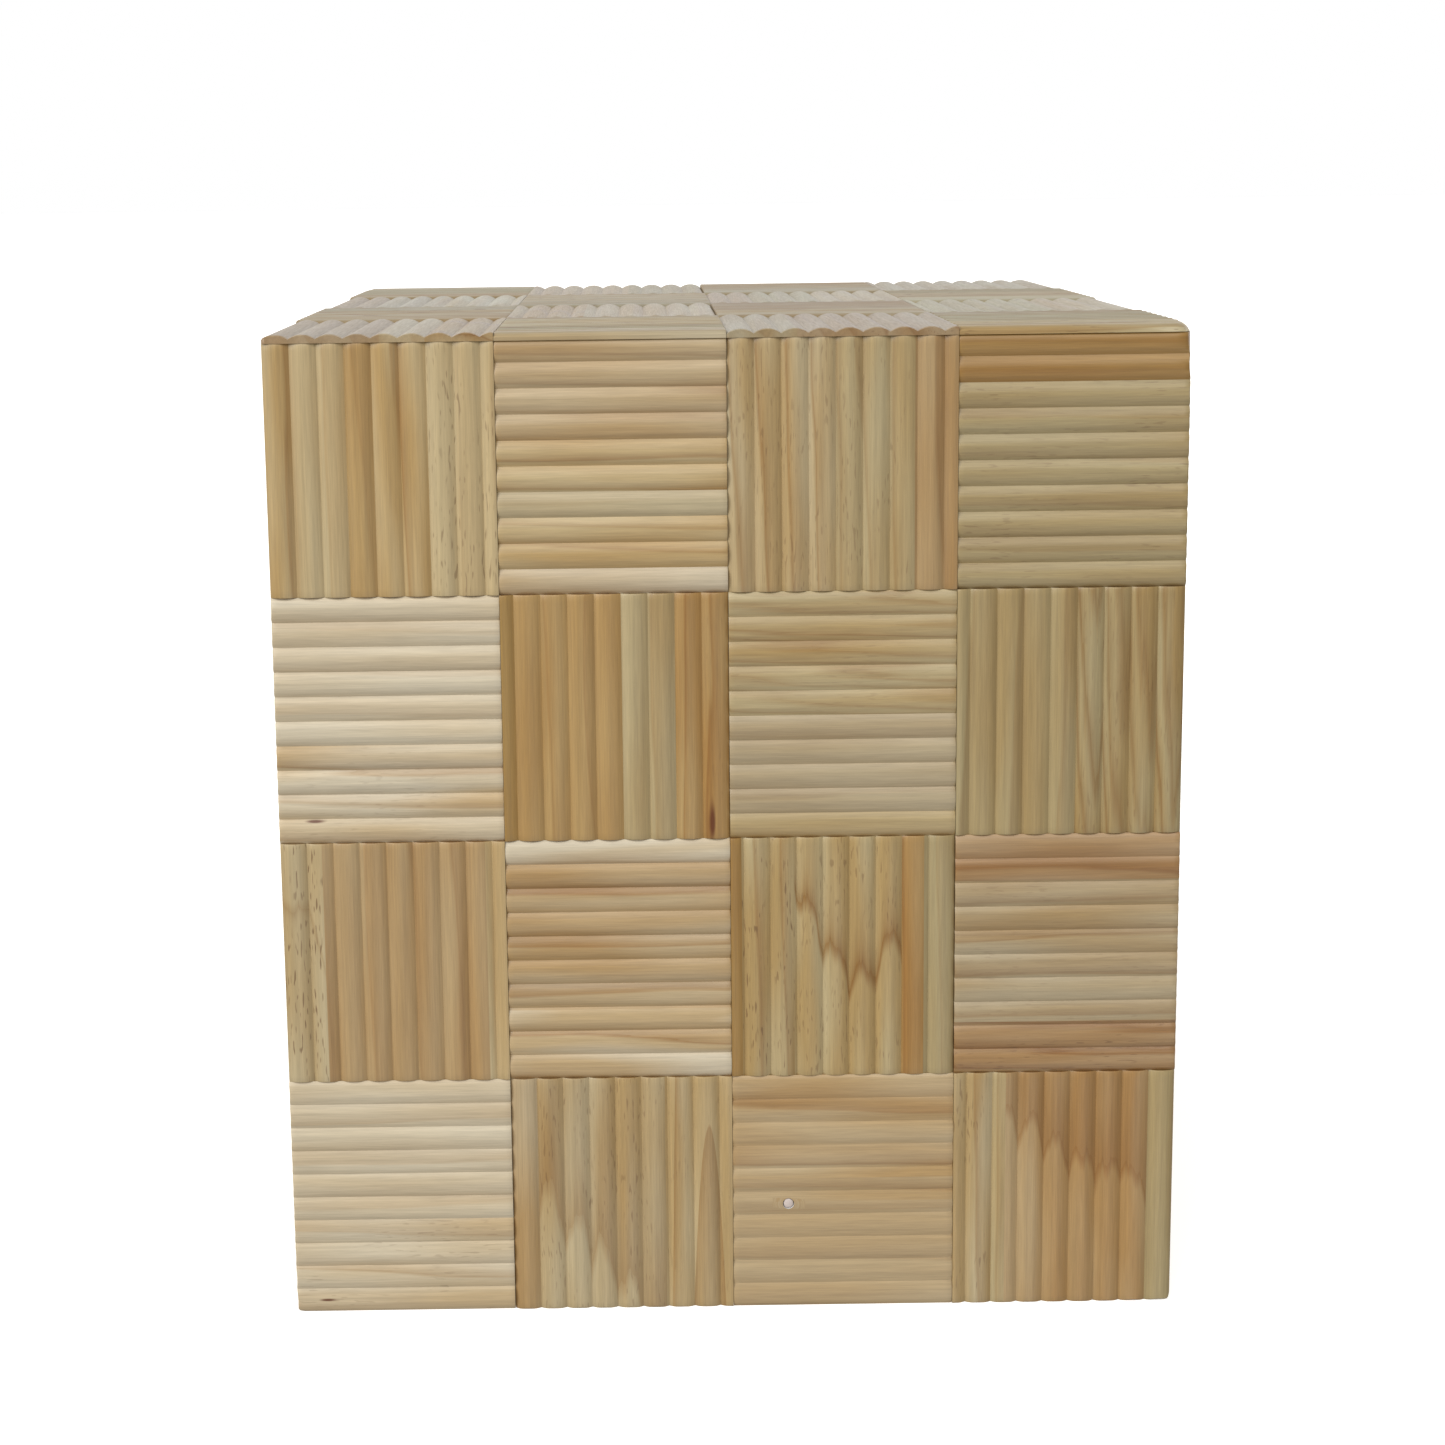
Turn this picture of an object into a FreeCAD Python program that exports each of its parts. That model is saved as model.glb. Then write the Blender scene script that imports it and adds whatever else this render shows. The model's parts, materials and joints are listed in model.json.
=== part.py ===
import FreeCAD, Part
import math
import os

from FreeCAD import Vector

# A closed wooden puzzle box clad in reeded pine tiles.
# The front faces -Y, +Z is up, and the origin is on the floor under the middle of the box.

# Tiles, in millimetres

TILES_EACH_WAY = 4
TILE_WIDTH = 74.7           # across the front, back and top
TILE_HEIGHT = 82.7          # up every wall, and from front to back on the top
TILE_THICKNESS = 2.8        # back of the tile to a rib's crest
RIB_HEIGHT = 1.35           # groove to crest
RIB_FLATS = 4               # flats that each rib's round is drawn with, to keep its facets few
SEAM = 0.4                  # gap between neighbouring tiles
UPRIGHT_RIBS = 8.5          # ribs across a tile of the front, back or top
SIDE_UPRIGHT_RIBS = 9.5     # ribs across the wider tiles of the left and right walls
LEVEL_RIBS = 10.0           # ribs up a tile whose ribs run sideways

# Upright front tiles that start with their half rib, as (row from the top, column from the left)
HALF_RIB_FIRST = {(1, 1), (1, 3), (2, 2), (3, 3)}

# Boards and joinery

WALL_BOARD = 9.0
BOTTOM_BOARD = 9.0
SHELF_BOARD = 8.0
LID_BOARD = 10.0
RABBET = 4.5                # how deep the wall boards lap at the corners and at the bottom
SHELF_DADO = 3.0            # how far the shelf is let into the walls
SHELF_LAP = 3.5             # how far the shelf hangs below the drawer's top seam
POST_SIZE = 12.0
POST_CHAMFER = 4.0
RUNNING_GAP = 0.3           # between pieces that slide past each other
FLOOR_GAP = 0.8             # under the drawer's front

# Lid

TONGUE_WIDTH = 4.0
TONGUE_HEIGHT = 4.5
KEEPER_HEIGHT = 10.0
KEEPER_STRIP = 6.0          # each strip's size along the lid's travel
KEEPER_OVERHANG = 3.0       # how much wider the strips are than the bolt, on each side

# Lid bolt

BOLT_SIZE = 10.0
BOLT_TAIL = 8.0             # how far the bolt hangs below the shelf
BOLT_TO_KEEPER = 0.6        # from the lowered bolt to the keeper
GUIDE_WALL = 5.0            # around the bolt's hole in each guide
GUIDE_HEIGHT = 18.0
POST_TO_GUIDE = 2.5         # from the front left post to the guides
UPPER_GUIDE_DROP = 8.0      # from the keeper down to the upper guide
COLLAR_WALL = 4.0
COLLAR_HEIGHT = 8.0

# Drawer

DRAWER_GUIDE_WIDTH = 8.0
DRAWER_GUIDE_HEIGHT = 10.0
DRAWER_SIDE_BOARD = 7.0
DRAWER_SIDE_HEIGHT = 55.0
DRAWER_BOTTOM_BOARD = 4.0
DRAWER_BOTTOM_RAISE = 4.0   # from the drawer's lower edges to its bottom board
DRAWER_DADO = 3.0           # how far the drawer's boards are let into each other
STOP_LENGTH = 10.0
STOP_WIDTH = 40.0
STOP_HEIGHT = 20.0

# Locking pin

PIN_COLUMN = 2              # column from the left, on the bottom row of the front
PIN_OFFSET = 18.7           # from that tile's left edge
PIN_RIB = 5                 # ribs of that tile above the pin's own rib
PIN_DIAMETER = 3.3
PIN_CLEARANCE = 0.25        # around the pin in its hole
PIN_TIP_LENGTH = 3.0
PIN_FLANGE_DIAMETER = 6.0
PIN_FLANGE_THICKNESS = 2.2
PIN_TO_CLEAT = 0.6          # from the drawn pin's flange to the cleats' path
CLEAT_WIDTH = 8.0
CLEAT_HEIGHT = 24.0
CLEAT_CLEARANCE = 0.5       # between the pin's flange and each cleat

# Sizes that follow from these

COLUMN_STEP = TILE_WIDTH + SEAM
ROW_STEP = TILE_HEIGHT + SEAM
BOX_WIDTH = TILES_EACH_WAY * COLUMN_STEP - SEAM
BOX_DEPTH = TILES_EACH_WAY * ROW_STEP - SEAM
WALL_TOP = TILES_EACH_WAY * ROW_STEP - SEAM
LID_TILE_BASE = WALL_TOP + RUNNING_GAP

BACK_X = BOX_WIDTH / 2 - TILE_THICKNESS     # outer face of the left and right boards
BACK_Y = BOX_DEPTH / 2 - TILE_THICKNESS     # outer face of the front and back boards
INNER_X = BACK_X - WALL_BOARD
INNER_Y = BACK_Y - WALL_BOARD
LAP_X = INNER_X + RABBET
LAP_Y = INNER_Y + RABBET

SIDE_TILE_WIDTH = (2 * (BACK_Y - SEAM) + SEAM) / TILES_EACH_WAY - SEAM
SIDE_COLUMN_STEP = SIDE_TILE_WIDTH + SEAM

DRAWER_SEAM = ROW_STEP                              # lower edge of the row above the drawer
LID_SEAM = (TILES_EACH_WAY - 1) * ROW_STEP          # lower edge of the row that the lid carries
SHELF_BASE = DRAWER_SEAM - SHELF_LAP
SHELF_TOP = SHELF_BASE + SHELF_BOARD

LID_BASE = LID_TILE_BASE - LID_BOARD
KEEPER_BASE = LID_BASE - KEEPER_HEIGHT
POST_TOP = KEEPER_BASE - RUNNING_GAP

BOLT_HOLE = BOLT_SIZE / 2 + RUNNING_GAP             # half the size of the hole around the bolt
BOLT_X = -(INNER_X - POST_SIZE - POST_TO_GUIDE - GUIDE_WALL - BOLT_HOLE)
BOLT_Y = -(INNER_Y - RUNNING_GAP - KEEPER_STRIP - BOLT_HOLE)
BOLT_BASE = SHELF_BASE - BOLT_TAIL
BOLT_TOP = KEEPER_BASE - BOLT_TO_KEEPER
LOWER_GUIDE_TOP = SHELF_TOP + GUIDE_HEIGHT

DRAWER_BASE = BOTTOM_BOARD + RUNNING_GAP
DRAWER_TOP = DRAWER_BASE + DRAWER_SIDE_HEIGHT
DRAWER_OUT_Y = INNER_Y - DRAWER_GUIDE_WIDTH - RUNNING_GAP
DRAWER_IN_Y = DRAWER_OUT_Y - DRAWER_SIDE_BOARD
DRAWER_FRONT_X = INNER_X + RUNNING_GAP
DRAWER_END_X = -INNER_X + STOP_LENGTH + RUNNING_GAP
DRAWER_FLOOR = DRAWER_BASE + DRAWER_BOTTOM_RAISE
CLEAT_DEPTH = DRAWER_GUIDE_WIDTH + RUNNING_GAP - PIN_FLANGE_THICKNESS - PIN_TO_CLEAT

PIN_X = -BOX_WIDTH / 2 + PIN_COLUMN * COLUMN_STEP + PIN_OFFSET
PIN_Z = TILE_HEIGHT - (PIN_RIB + 0.5) * TILE_HEIGHT / LEVEL_RIBS
PIN_FRONT_Y = -BOX_DEPTH / 2


def save(shape, node):
    """Write one piece, or one group of like pieces, as its own file."""
    os.makedirs("parts", exist_ok=True)
    shape.exportStep("parts/" + node + ".step")


def block(low, high):
    """A board or block between two opposite corners."""
    size = [b - a for a, b in zip(low, high)]
    return Part.makeBox(*size, Vector(*low))


def rod(diameter, start_y, end_y):
    """A round length of the locking pin, or its hole, along Y."""
    centre = Vector(PIN_X, start_y, PIN_Z)
    return Part.makeCylinder(diameter / 2, end_y - start_y, centre, Vector(0, 1, 0))


# Reeded tiles


def rib_outline(width, rib_count, half_rib_first):
    """Points across a tile's ribbed face, as (place, height), with cut ribs at the tile's edges."""
    pitch = width / rib_count
    radius = (pitch * pitch / 4 + RIB_HEIGHT * RIB_HEIGHT) / (2 * RIB_HEIGHT)
    shift = 0.5 if half_rib_first else 0.0
    points = []
    for flat in range(math.ceil(rib_count * RIB_FLATS) + 1):
        ribs = min(flat / RIB_FLATS, rib_count)
        from_crest = ((ribs + shift) % 1 - 0.5) * pitch
        drop = radius - math.sqrt(radius * radius - from_crest * from_crest)
        points.append((ribs * pitch, TILE_THICKNESS - drop))
    return points


def reeded_tile(corner, across, along, out, width, length, rib_count, half_rib_first=False):
    """A tile whose ribs lie side by side along across and run along along, with crests towards out."""
    outline = [(width, 0.0), (0.0, 0.0)] + rib_outline(width, rib_count, half_rib_first)
    points = [corner + across * place + out * height for place, height in outline]
    return Part.Face(Part.makePolygon(points + points[:1])).extrude(along * length)


def tile_at(corner, right, up, out, width, height, upright, upright_ribs, half_rib_first=False):
    """A tile on a face, from its lower left corner, with its ribs running up or sideways."""
    if upright:
        return reeded_tile(corner, right, up, out, width, height, upright_ribs, half_rib_first)
    return reeded_tile(corner, up, right, out, height, width, LEVEL_RIBS)


def front_row(row):
    """The four front tiles of a row, counted from the top. The bottom row has the locking pin's hole."""
    tiles = []
    base = WALL_TOP - (row + 1) * ROW_STEP + SEAM
    for column in range(TILES_EACH_WAY):
        corner = Vector(-BOX_WIDTH / 2 + column * COLUMN_STEP, -BACK_Y, base)
        upright = (row + column) % 2 == 0
        half_first = (row, column) in HALF_RIB_FIRST
        tile = tile_at(corner, Vector(1, 0, 0), Vector(0, 0, 1), Vector(0, -1, 0),
                       TILE_WIDTH, TILE_HEIGHT, upright, UPRIGHT_RIBS, half_first)
        if row == TILES_EACH_WAY - 1:
            tile = tile.cut(pin_hole())
        tiles.append(tile)
    return Part.makeCompound(tiles)


def back_row(row):
    """The four back tiles of a row, counted from the top, starting at the box's right."""
    tiles = []
    base = WALL_TOP - (row + 1) * ROW_STEP + SEAM
    top = LID_TILE_BASE if row == 0 else base + TILE_HEIGHT
    for column in range(TILES_EACH_WAY):
        corner = Vector(BOX_WIDTH / 2 - column * COLUMN_STEP, BACK_Y, base)
        upright = (row + column) % 2 == 0
        tiles.append(tile_at(corner, Vector(-1, 0, 0), Vector(0, 0, 1), Vector(0, 1, 0),
                             TILE_WIDTH, top - base, upright, UPRIGHT_RIBS, row % 2 == 1))
    return Part.makeCompound(tiles)


def side_row(side, row):
    """The four tiles of a row on the left (-1) or right (1) wall, starting at the front."""
    tiles = []
    base = WALL_TOP - (row + 1) * ROW_STEP + SEAM
    top = base + TILE_HEIGHT
    if side > 0 and row == TILES_EACH_WAY - 1:
        base += FLOOR_GAP
    for column in range(TILES_EACH_WAY):
        corner = Vector(side * BACK_X, -BACK_Y + SEAM + column * SIDE_COLUMN_STEP, base)
        upright = (row + column) % 2 == (0 if side > 0 else 1)
        tiles.append(tile_at(corner, Vector(0, 1, 0), Vector(0, 0, 1), Vector(side, 0, 0),
                             SIDE_TILE_WIDTH, top - base, upright, SIDE_UPRIGHT_RIBS, row % 2 == 1))
    return Part.makeCompound(tiles)


def top_row(row):
    """The four top tiles of a row, counted from the front. Their ribs carry on from the front's."""
    tiles = []
    for column in range(TILES_EACH_WAY):
        left = -BOX_WIDTH / 2 + column * COLUMN_STEP
        corner = Vector(left, -BOX_DEPTH / 2 + row * ROW_STEP, LID_TILE_BASE)
        upright = (row + column) % 2 == 0
        tiles.append(tile_at(corner, Vector(1, 0, 0), Vector(0, 1, 0), Vector(0, 0, 1),
                             TILE_WIDTH, TILE_HEIGHT, upright, UPRIGHT_RIBS, row % 2 == 1))
    return Part.makeCompound(tiles)


# Carcass


def bottom_panel():
    """The floor of the drawer bay, lapped into the front, back and left boards."""
    return block((-LAP_X, -LAP_Y, 0), (INNER_X, LAP_Y, BOTTOM_BOARD))


def shelf_blank():
    """The shelf's outline, which also cuts its dadoes in the walls."""
    reach_x = INNER_X + SHELF_DADO
    reach_y = INNER_Y + SHELF_DADO
    return block((-reach_x, -reach_y, SHELF_BASE), (INNER_X, reach_y, SHELF_TOP))


def bolt_hole(base, top):
    """A square hole that the lid bolt slides in."""
    low = (BOLT_X - BOLT_HOLE, BOLT_Y - BOLT_HOLE, base)
    return block(low, (BOLT_X + BOLT_HOLE, BOLT_Y + BOLT_HOLE, top))


def shelf_panel():
    """The ceiling of the drawer bay, with the lid bolt's hole."""
    return shelf_blank().cut(bolt_hole(SHELF_BASE, SHELF_TOP))


def pin_hole():
    """The locking pin's hole through the front tile and board."""
    return rod(PIN_DIAMETER + 2 * PIN_CLEARANCE, -BOX_DEPTH / 2, -INNER_Y)


def end_wall(side, base, top):
    """A front (-1) or back (1) board with a rabbet at each end for the side boards."""
    low_y, high_y = sorted((side * INNER_Y, side * BACK_Y))
    wall = block((-BACK_X, low_y, base), (BACK_X, high_y, top))
    lap_low, lap_high = sorted((side * INNER_Y, side * LAP_Y))
    for end in (-1, 1):
        low_x, high_x = sorted((end * INNER_X, end * BACK_X))
        wall = wall.cut(block((low_x, lap_low, base), (high_x, lap_high, top)))
    return wall


def front_panel():
    """The front board, as high as the walls, with the locking pin's hole."""
    wall = end_wall(-1, 0, WALL_TOP)
    return wall.cut(bottom_panel()).cut(shelf_blank()).cut(pin_hole())


def back_panel():
    """The back board, one row lower than the front, where the lid's own back board comes down."""
    wall = end_wall(1, 0, LID_SEAM - SEAM)
    return wall.cut(bottom_panel()).cut(shelf_blank())


def lid_groove(side):
    """The groove in a side board that a tongue of the lid runs in, open at the back."""
    low_x, high_x = sorted((side * INNER_X, side * (INNER_X + TONGUE_WIDTH)))
    base = LID_BASE - RUNNING_GAP
    top = LID_BASE + TONGUE_HEIGHT + RUNNING_GAP
    return block((low_x, -INNER_Y, base), (high_x, LAP_Y, top))


def side_panel(side, base):
    """A left (-1) or right (1) board, let into the front and back boards and grooved for the lid."""
    low_x, high_x = sorted((side * INNER_X, side * BACK_X))
    wall = block((low_x, -LAP_Y, base), (high_x, LAP_Y, WALL_TOP))
    return wall.cut(lid_groove(side)).cut(bottom_panel()).cut(shelf_blank())


def corner_post(side_x, side_y):
    """A glued post in a corner of the upper compartment, with its free edge taken off."""
    xs = sorted((side_x * INNER_X, side_x * (INNER_X - POST_SIZE)))
    ys = sorted((side_y * INNER_Y, side_y * (INNER_Y - POST_SIZE)))
    post = block((xs[0], ys[0], SHELF_TOP), (xs[1], ys[1], POST_TOP))
    free_x = side_x * (INNER_X - POST_SIZE)
    free_y = side_y * (INNER_Y - POST_SIZE)
    edge = next(e for e in post.Edges
                if all(abs(v.X - free_x) + abs(v.Y - free_y) < 0.01 for v in e.Vertexes))
    return post.makeChamfer(POST_CHAMFER, [edge])


def drawer_guide(side):
    """A strip along the front (-1) or back (1) of the bay that keeps the drawer straight."""
    low_y, high_y = sorted((side * INNER_Y, side * (INNER_Y - DRAWER_GUIDE_WIDTH)))
    top = BOTTOM_BOARD + DRAWER_GUIDE_HEIGHT
    return block((-INNER_X, low_y, BOTTOM_BOARD), (INNER_X, high_y, top))


def drawer_stop():
    """The block on the left that the closed drawer meets."""
    half = STOP_WIDTH / 2
    top = BOTTOM_BOARD + STOP_HEIGHT
    return block((-INNER_X, -half, BOTTOM_BOARD), (-INNER_X + STOP_LENGTH, half, top))


def bolt_guide(base):
    """A block on the front board with a square hole that the lid bolt slides in."""
    half = BOLT_HOLE + GUIDE_WALL
    top = base + GUIDE_HEIGHT
    guide = block((BOLT_X - half, -INNER_Y, base), (BOLT_X + half, BOLT_Y + half, top))
    return guide.cut(bolt_hole(base, top))


# Lid


def lid_board():
    """The board under the top tiles, with a tongue along each side."""
    half = INNER_X - RUNNING_GAP
    low_y = -INNER_Y + RUNNING_GAP
    board = block((-half, low_y, LID_BASE), (half, INNER_Y, LID_TILE_BASE))
    reach = half + TONGUE_WIDTH
    tongues = block((-reach, low_y, LID_BASE), (reach, INNER_Y, LID_BASE + TONGUE_HEIGHT))
    return board.fuse(tongues).removeSplitter()


def lid_back_board():
    """The board that hangs from the back of the lid and carries the top row of the back."""
    wall = block((-BACK_X, INNER_Y, LID_SEAM), (BACK_X, BACK_Y, LID_TILE_BASE))
    lap_y = LAP_Y + RUNNING_GAP
    for end in (-1, 1):
        low_x, high_x = sorted((end * (INNER_X - RUNNING_GAP), end * BACK_X))
        wall = wall.cut(block((low_x, INNER_Y, LID_SEAM), (high_x, lap_y, LID_TILE_BASE)))
    return wall


def lid_keeper():
    """Two strips under the lid, in front of and behind the raised bolt."""
    half_x = BOLT_SIZE / 2 + KEEPER_OVERHANG
    strips = []
    for side in (-1, 1):
        near = BOLT_Y + side * BOLT_HOLE
        low_y, high_y = sorted((near, near + side * KEEPER_STRIP))
        strips.append(block((BOLT_X - half_x, low_y, KEEPER_BASE), (BOLT_X + half_x, high_y, LID_BASE)))
    return Part.makeCompound(strips)


# Locks


def lid_bolt():
    """The square bolt that rises between the keeper's strips. Its foot hangs in the drawer bay."""
    half = BOLT_SIZE / 2
    return block((BOLT_X - half, BOLT_Y - half, BOLT_BASE), (BOLT_X + half, BOLT_Y + half, BOLT_TOP))


def bolt_collar():
    """The collar that holds the lowered bolt on top of its lower guide."""
    half = BOLT_SIZE / 2 + COLLAR_WALL
    top = LOWER_GUIDE_TOP + COLLAR_HEIGHT
    collar = block((BOLT_X - half, BOLT_Y - half, LOWER_GUIDE_TOP), (BOLT_X + half, BOLT_Y + half, top))
    return collar.cut(lid_bolt())


def pin_tip():
    """The pale end of the locking pin, flush with the crest of its rib."""
    return rod(PIN_DIAMETER, PIN_FRONT_Y, PIN_FRONT_Y + PIN_TIP_LENGTH)


def pin_rod():
    """The rest of the locking pin, with a flange that bears on the inside of the front board."""
    shank = rod(PIN_DIAMETER, PIN_FRONT_Y + PIN_TIP_LENGTH, -INNER_Y)
    flange = rod(PIN_FLANGE_DIAMETER, -INNER_Y, -INNER_Y + PIN_FLANGE_THICKNESS)
    return shank.fuse(flange)


# Drawer


def drawer_floor_blank():
    """The drawer's bottom board, which also cuts its grooves in the drawer's other boards."""
    reach_y = DRAWER_IN_Y + DRAWER_DADO
    low_x = DRAWER_END_X + DRAWER_SIDE_BOARD - DRAWER_DADO
    high_x = DRAWER_FRONT_X + DRAWER_DADO
    return block((low_x, -reach_y, DRAWER_FLOOR), (high_x, reach_y, DRAWER_FLOOR + DRAWER_BOTTOM_BOARD))


def drawer_side_blank(side):
    """A drawer side on the front (-1) or back (1), as long as its dado in the drawer front allows."""
    low_y, high_y = sorted((side * DRAWER_IN_Y, side * DRAWER_OUT_Y))
    high_x = DRAWER_FRONT_X + DRAWER_DADO
    return block((DRAWER_END_X, low_y, DRAWER_BASE), (high_x, high_y, DRAWER_TOP))


def drawer_end_blank():
    """The drawer's far end before it is grooved, which also cuts its rabbets in the sides."""
    reach_y = DRAWER_IN_Y + DRAWER_DADO
    high_x = DRAWER_END_X + DRAWER_SIDE_BOARD
    return block((DRAWER_END_X, -reach_y, DRAWER_BASE), (high_x, reach_y, DRAWER_TOP))


def drawer_end():
    """The drawer's far end, let into both sides and grooved for the bottom board."""
    return drawer_end_blank().cut(drawer_floor_blank())


def drawer_side(side):
    """A drawer side, grooved for the bottom board and rabbeted for the far end."""
    return drawer_side_blank(side).cut(drawer_floor_blank()).cut(drawer_end_blank())


def drawer_front():
    """The board behind the drawer's tiles, with dadoes for the sides and a groove for the bottom."""
    reach_y = LAP_Y - RUNNING_GAP
    front = block((DRAWER_FRONT_X, -reach_y, FLOOR_GAP), (BACK_X, reach_y, DRAWER_SEAM - SEAM))
    return front.cut(drawer_side_blank(-1)).cut(drawer_side_blank(1)).cut(drawer_floor_blank())


def drawer_keeper():
    """Two cleats on the drawer's front side, either side of the pressed pin's flange."""
    near = PIN_FLANGE_DIAMETER / 2 + CLEAT_CLEARANCE
    cleats = []
    for side in (-1, 1):
        low_x, high_x = sorted((PIN_X + side * near, PIN_X + side * (near + CLEAT_WIDTH)))
        base = PIN_Z - CLEAT_HEIGHT / 2
        cleats.append(block((low_x, -DRAWER_OUT_Y - CLEAT_DEPTH, base),
                            (high_x, -DRAWER_OUT_Y, base + CLEAT_HEIGHT)))
    return Part.makeCompound(cleats)


# Every piece

save(bottom_panel(), "bottom_panel")
save(shelf_panel(), "shelf_panel")
save(front_panel(), "front_panel")
save(back_panel(), "back_panel")
save(side_panel(-1, 0), "left_panel")
save(side_panel(1, DRAWER_SEAM), "right_panel")
for name_y, side_y in (("front", -1), ("back", 1)):
    for name_x, side_x in (("left", -1), ("right", 1)):
        save(corner_post(side_x, side_y), "post_" + name_y + "_" + name_x)
    save(drawer_guide(side_y), "drawer_guide_" + name_y)
    save(drawer_side(side_y), "drawer_side_" + name_y)
save(drawer_stop(), "drawer_stop")
save(bolt_guide(SHELF_TOP), "bolt_guide_lower")
save(bolt_guide(KEEPER_BASE - UPPER_GUIDE_DROP - GUIDE_HEIGHT), "bolt_guide_upper")

save(lid_board(), "lid_board")
save(lid_back_board(), "lid_back_board")
save(lid_keeper(), "lid_keeper")
save(lid_bolt(), "lid_bolt")
save(bolt_collar(), "bolt_collar")
save(pin_tip(), "pin_tip")
save(pin_rod(), "pin_rod")

save(drawer_front(), "drawer_front")
save(drawer_end(), "drawer_end")
save(drawer_floor_blank(), "drawer_bottom")
save(drawer_keeper(), "drawer_keeper")

for row in range(TILES_EACH_WAY):
    number = str(row + 1)
    save(front_row(row), "front_tiles_row_" + number)
    save(back_row(row), "back_tiles_row_" + number)
    save(side_row(-1, row), "left_tiles_row_" + number)
    save(side_row(1, row), "right_tiles_row_" + number)
    save(top_row(row), "top_tiles_row_" + number)
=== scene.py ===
"""The seen surfaces of a reeded pine puzzle box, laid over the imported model."""
import json
import math
import random
from collections import namedtuple

import bmesh
import bpy
import numpy as np
from bpy.props import FloatProperty, FloatVectorProperty, IntProperty, PointerProperty
from mathutils import Matrix, Vector

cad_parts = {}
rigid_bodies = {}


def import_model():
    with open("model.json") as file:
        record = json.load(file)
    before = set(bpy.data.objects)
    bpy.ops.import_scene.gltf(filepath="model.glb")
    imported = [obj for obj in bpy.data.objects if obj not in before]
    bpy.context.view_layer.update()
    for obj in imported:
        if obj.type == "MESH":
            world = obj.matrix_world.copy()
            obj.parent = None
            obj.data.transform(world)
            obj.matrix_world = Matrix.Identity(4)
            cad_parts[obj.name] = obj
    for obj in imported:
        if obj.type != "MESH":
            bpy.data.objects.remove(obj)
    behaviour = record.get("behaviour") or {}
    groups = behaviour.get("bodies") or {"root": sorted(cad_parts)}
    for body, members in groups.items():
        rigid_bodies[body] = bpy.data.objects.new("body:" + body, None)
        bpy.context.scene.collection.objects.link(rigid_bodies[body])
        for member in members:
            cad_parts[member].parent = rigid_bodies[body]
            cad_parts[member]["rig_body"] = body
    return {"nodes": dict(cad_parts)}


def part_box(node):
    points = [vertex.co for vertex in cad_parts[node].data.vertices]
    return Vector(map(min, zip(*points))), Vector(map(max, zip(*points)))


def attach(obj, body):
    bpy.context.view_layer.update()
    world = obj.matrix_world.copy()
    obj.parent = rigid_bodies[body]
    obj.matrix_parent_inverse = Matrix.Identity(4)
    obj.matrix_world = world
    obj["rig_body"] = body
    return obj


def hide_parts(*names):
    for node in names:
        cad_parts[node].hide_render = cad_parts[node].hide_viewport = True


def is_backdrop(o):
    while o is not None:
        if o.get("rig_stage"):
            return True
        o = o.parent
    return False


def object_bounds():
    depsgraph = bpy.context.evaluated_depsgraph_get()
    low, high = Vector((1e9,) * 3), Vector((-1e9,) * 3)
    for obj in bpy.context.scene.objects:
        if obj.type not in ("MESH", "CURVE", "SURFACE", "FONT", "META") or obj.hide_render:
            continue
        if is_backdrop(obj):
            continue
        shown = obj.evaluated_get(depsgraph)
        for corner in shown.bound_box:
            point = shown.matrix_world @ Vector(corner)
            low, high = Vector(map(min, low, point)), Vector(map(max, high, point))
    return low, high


bl_info = {
    "name": "Reeded pine puzzle box",
    "version": (1, 0, 0),
    "blender": (4, 5, 0),
    "location": "View3D > Sidebar > Puzzle Box",
    "description": "Makes the reeded tiles, boards, locks and stage of a pine puzzle box",
    "category": "Object",
}

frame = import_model()
CAD_LOW, CAD_HIGH = (Vector(corner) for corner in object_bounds())

MM = 0.001
FIRST_ROW = "front_tiles_row_1"
PIN_ROW = "front_tiles_row_4"

PINE_BOARDS = (
    "front_panel", "back_panel", "left_panel", "right_panel",
    "post_front_left", "post_front_right", "post_back_left", "post_back_right",
    "lid_board", "lid_back_board",
    "drawer_front", "drawer_side_front", "drawer_side_back", "drawer_end",
)
PLYWOOD_PANELS = ("bottom_panel", "shelf_panel", "drawer_bottom")
BEECH_PIECES = (
    "lid_bolt", "bolt_collar", "lid_keeper", "bolt_guide_lower", "bolt_guide_upper",
    "drawer_keeper", "drawer_guide_front", "drawer_guide_back", "drawer_stop",
)


def linear(colour):
    """Linear red, green and blue of an sRGB hex colour."""
    parts = [int(colour[start:start + 2], 16) / 255 for start in (1, 3, 5)]
    return tuple(p / 12.92 if p <= 0.04045 else ((p + 0.055) / 1.055) ** 2.4 for p in parts)


def row_depth():
    """Thickness of the tiles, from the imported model."""
    low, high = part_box(FIRST_ROW)
    return high.y - low.y


# Settings that a user would change

def size_setting(name, description, default):
    """A length in metres, shown in small units."""
    return FloatProperty(name=name, description=description, default=default, unit="LENGTH", precision=5)


def colour_setting(name, description, default):
    """A colour, given as its sRGB hex value."""
    return FloatVectorProperty(
        name=name, description=description, default=linear(default), subtype="COLOR", size=3, min=0, max=1)


def number_setting(name, description, default):
    """A plain number, such as a count or a strength."""
    return FloatProperty(name=name, description=description, default=default)


def angle_setting(name, description, degrees):
    """An angle, given in degrees."""
    return FloatProperty(name=name, description=description, default=math.radians(degrees), subtype="ANGLE")


def way_setting(name, description, default):
    """A way from the box, as to a lamp."""
    return FloatVectorProperty(name=name, description=description, default=default, subtype="DIRECTION")


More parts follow.
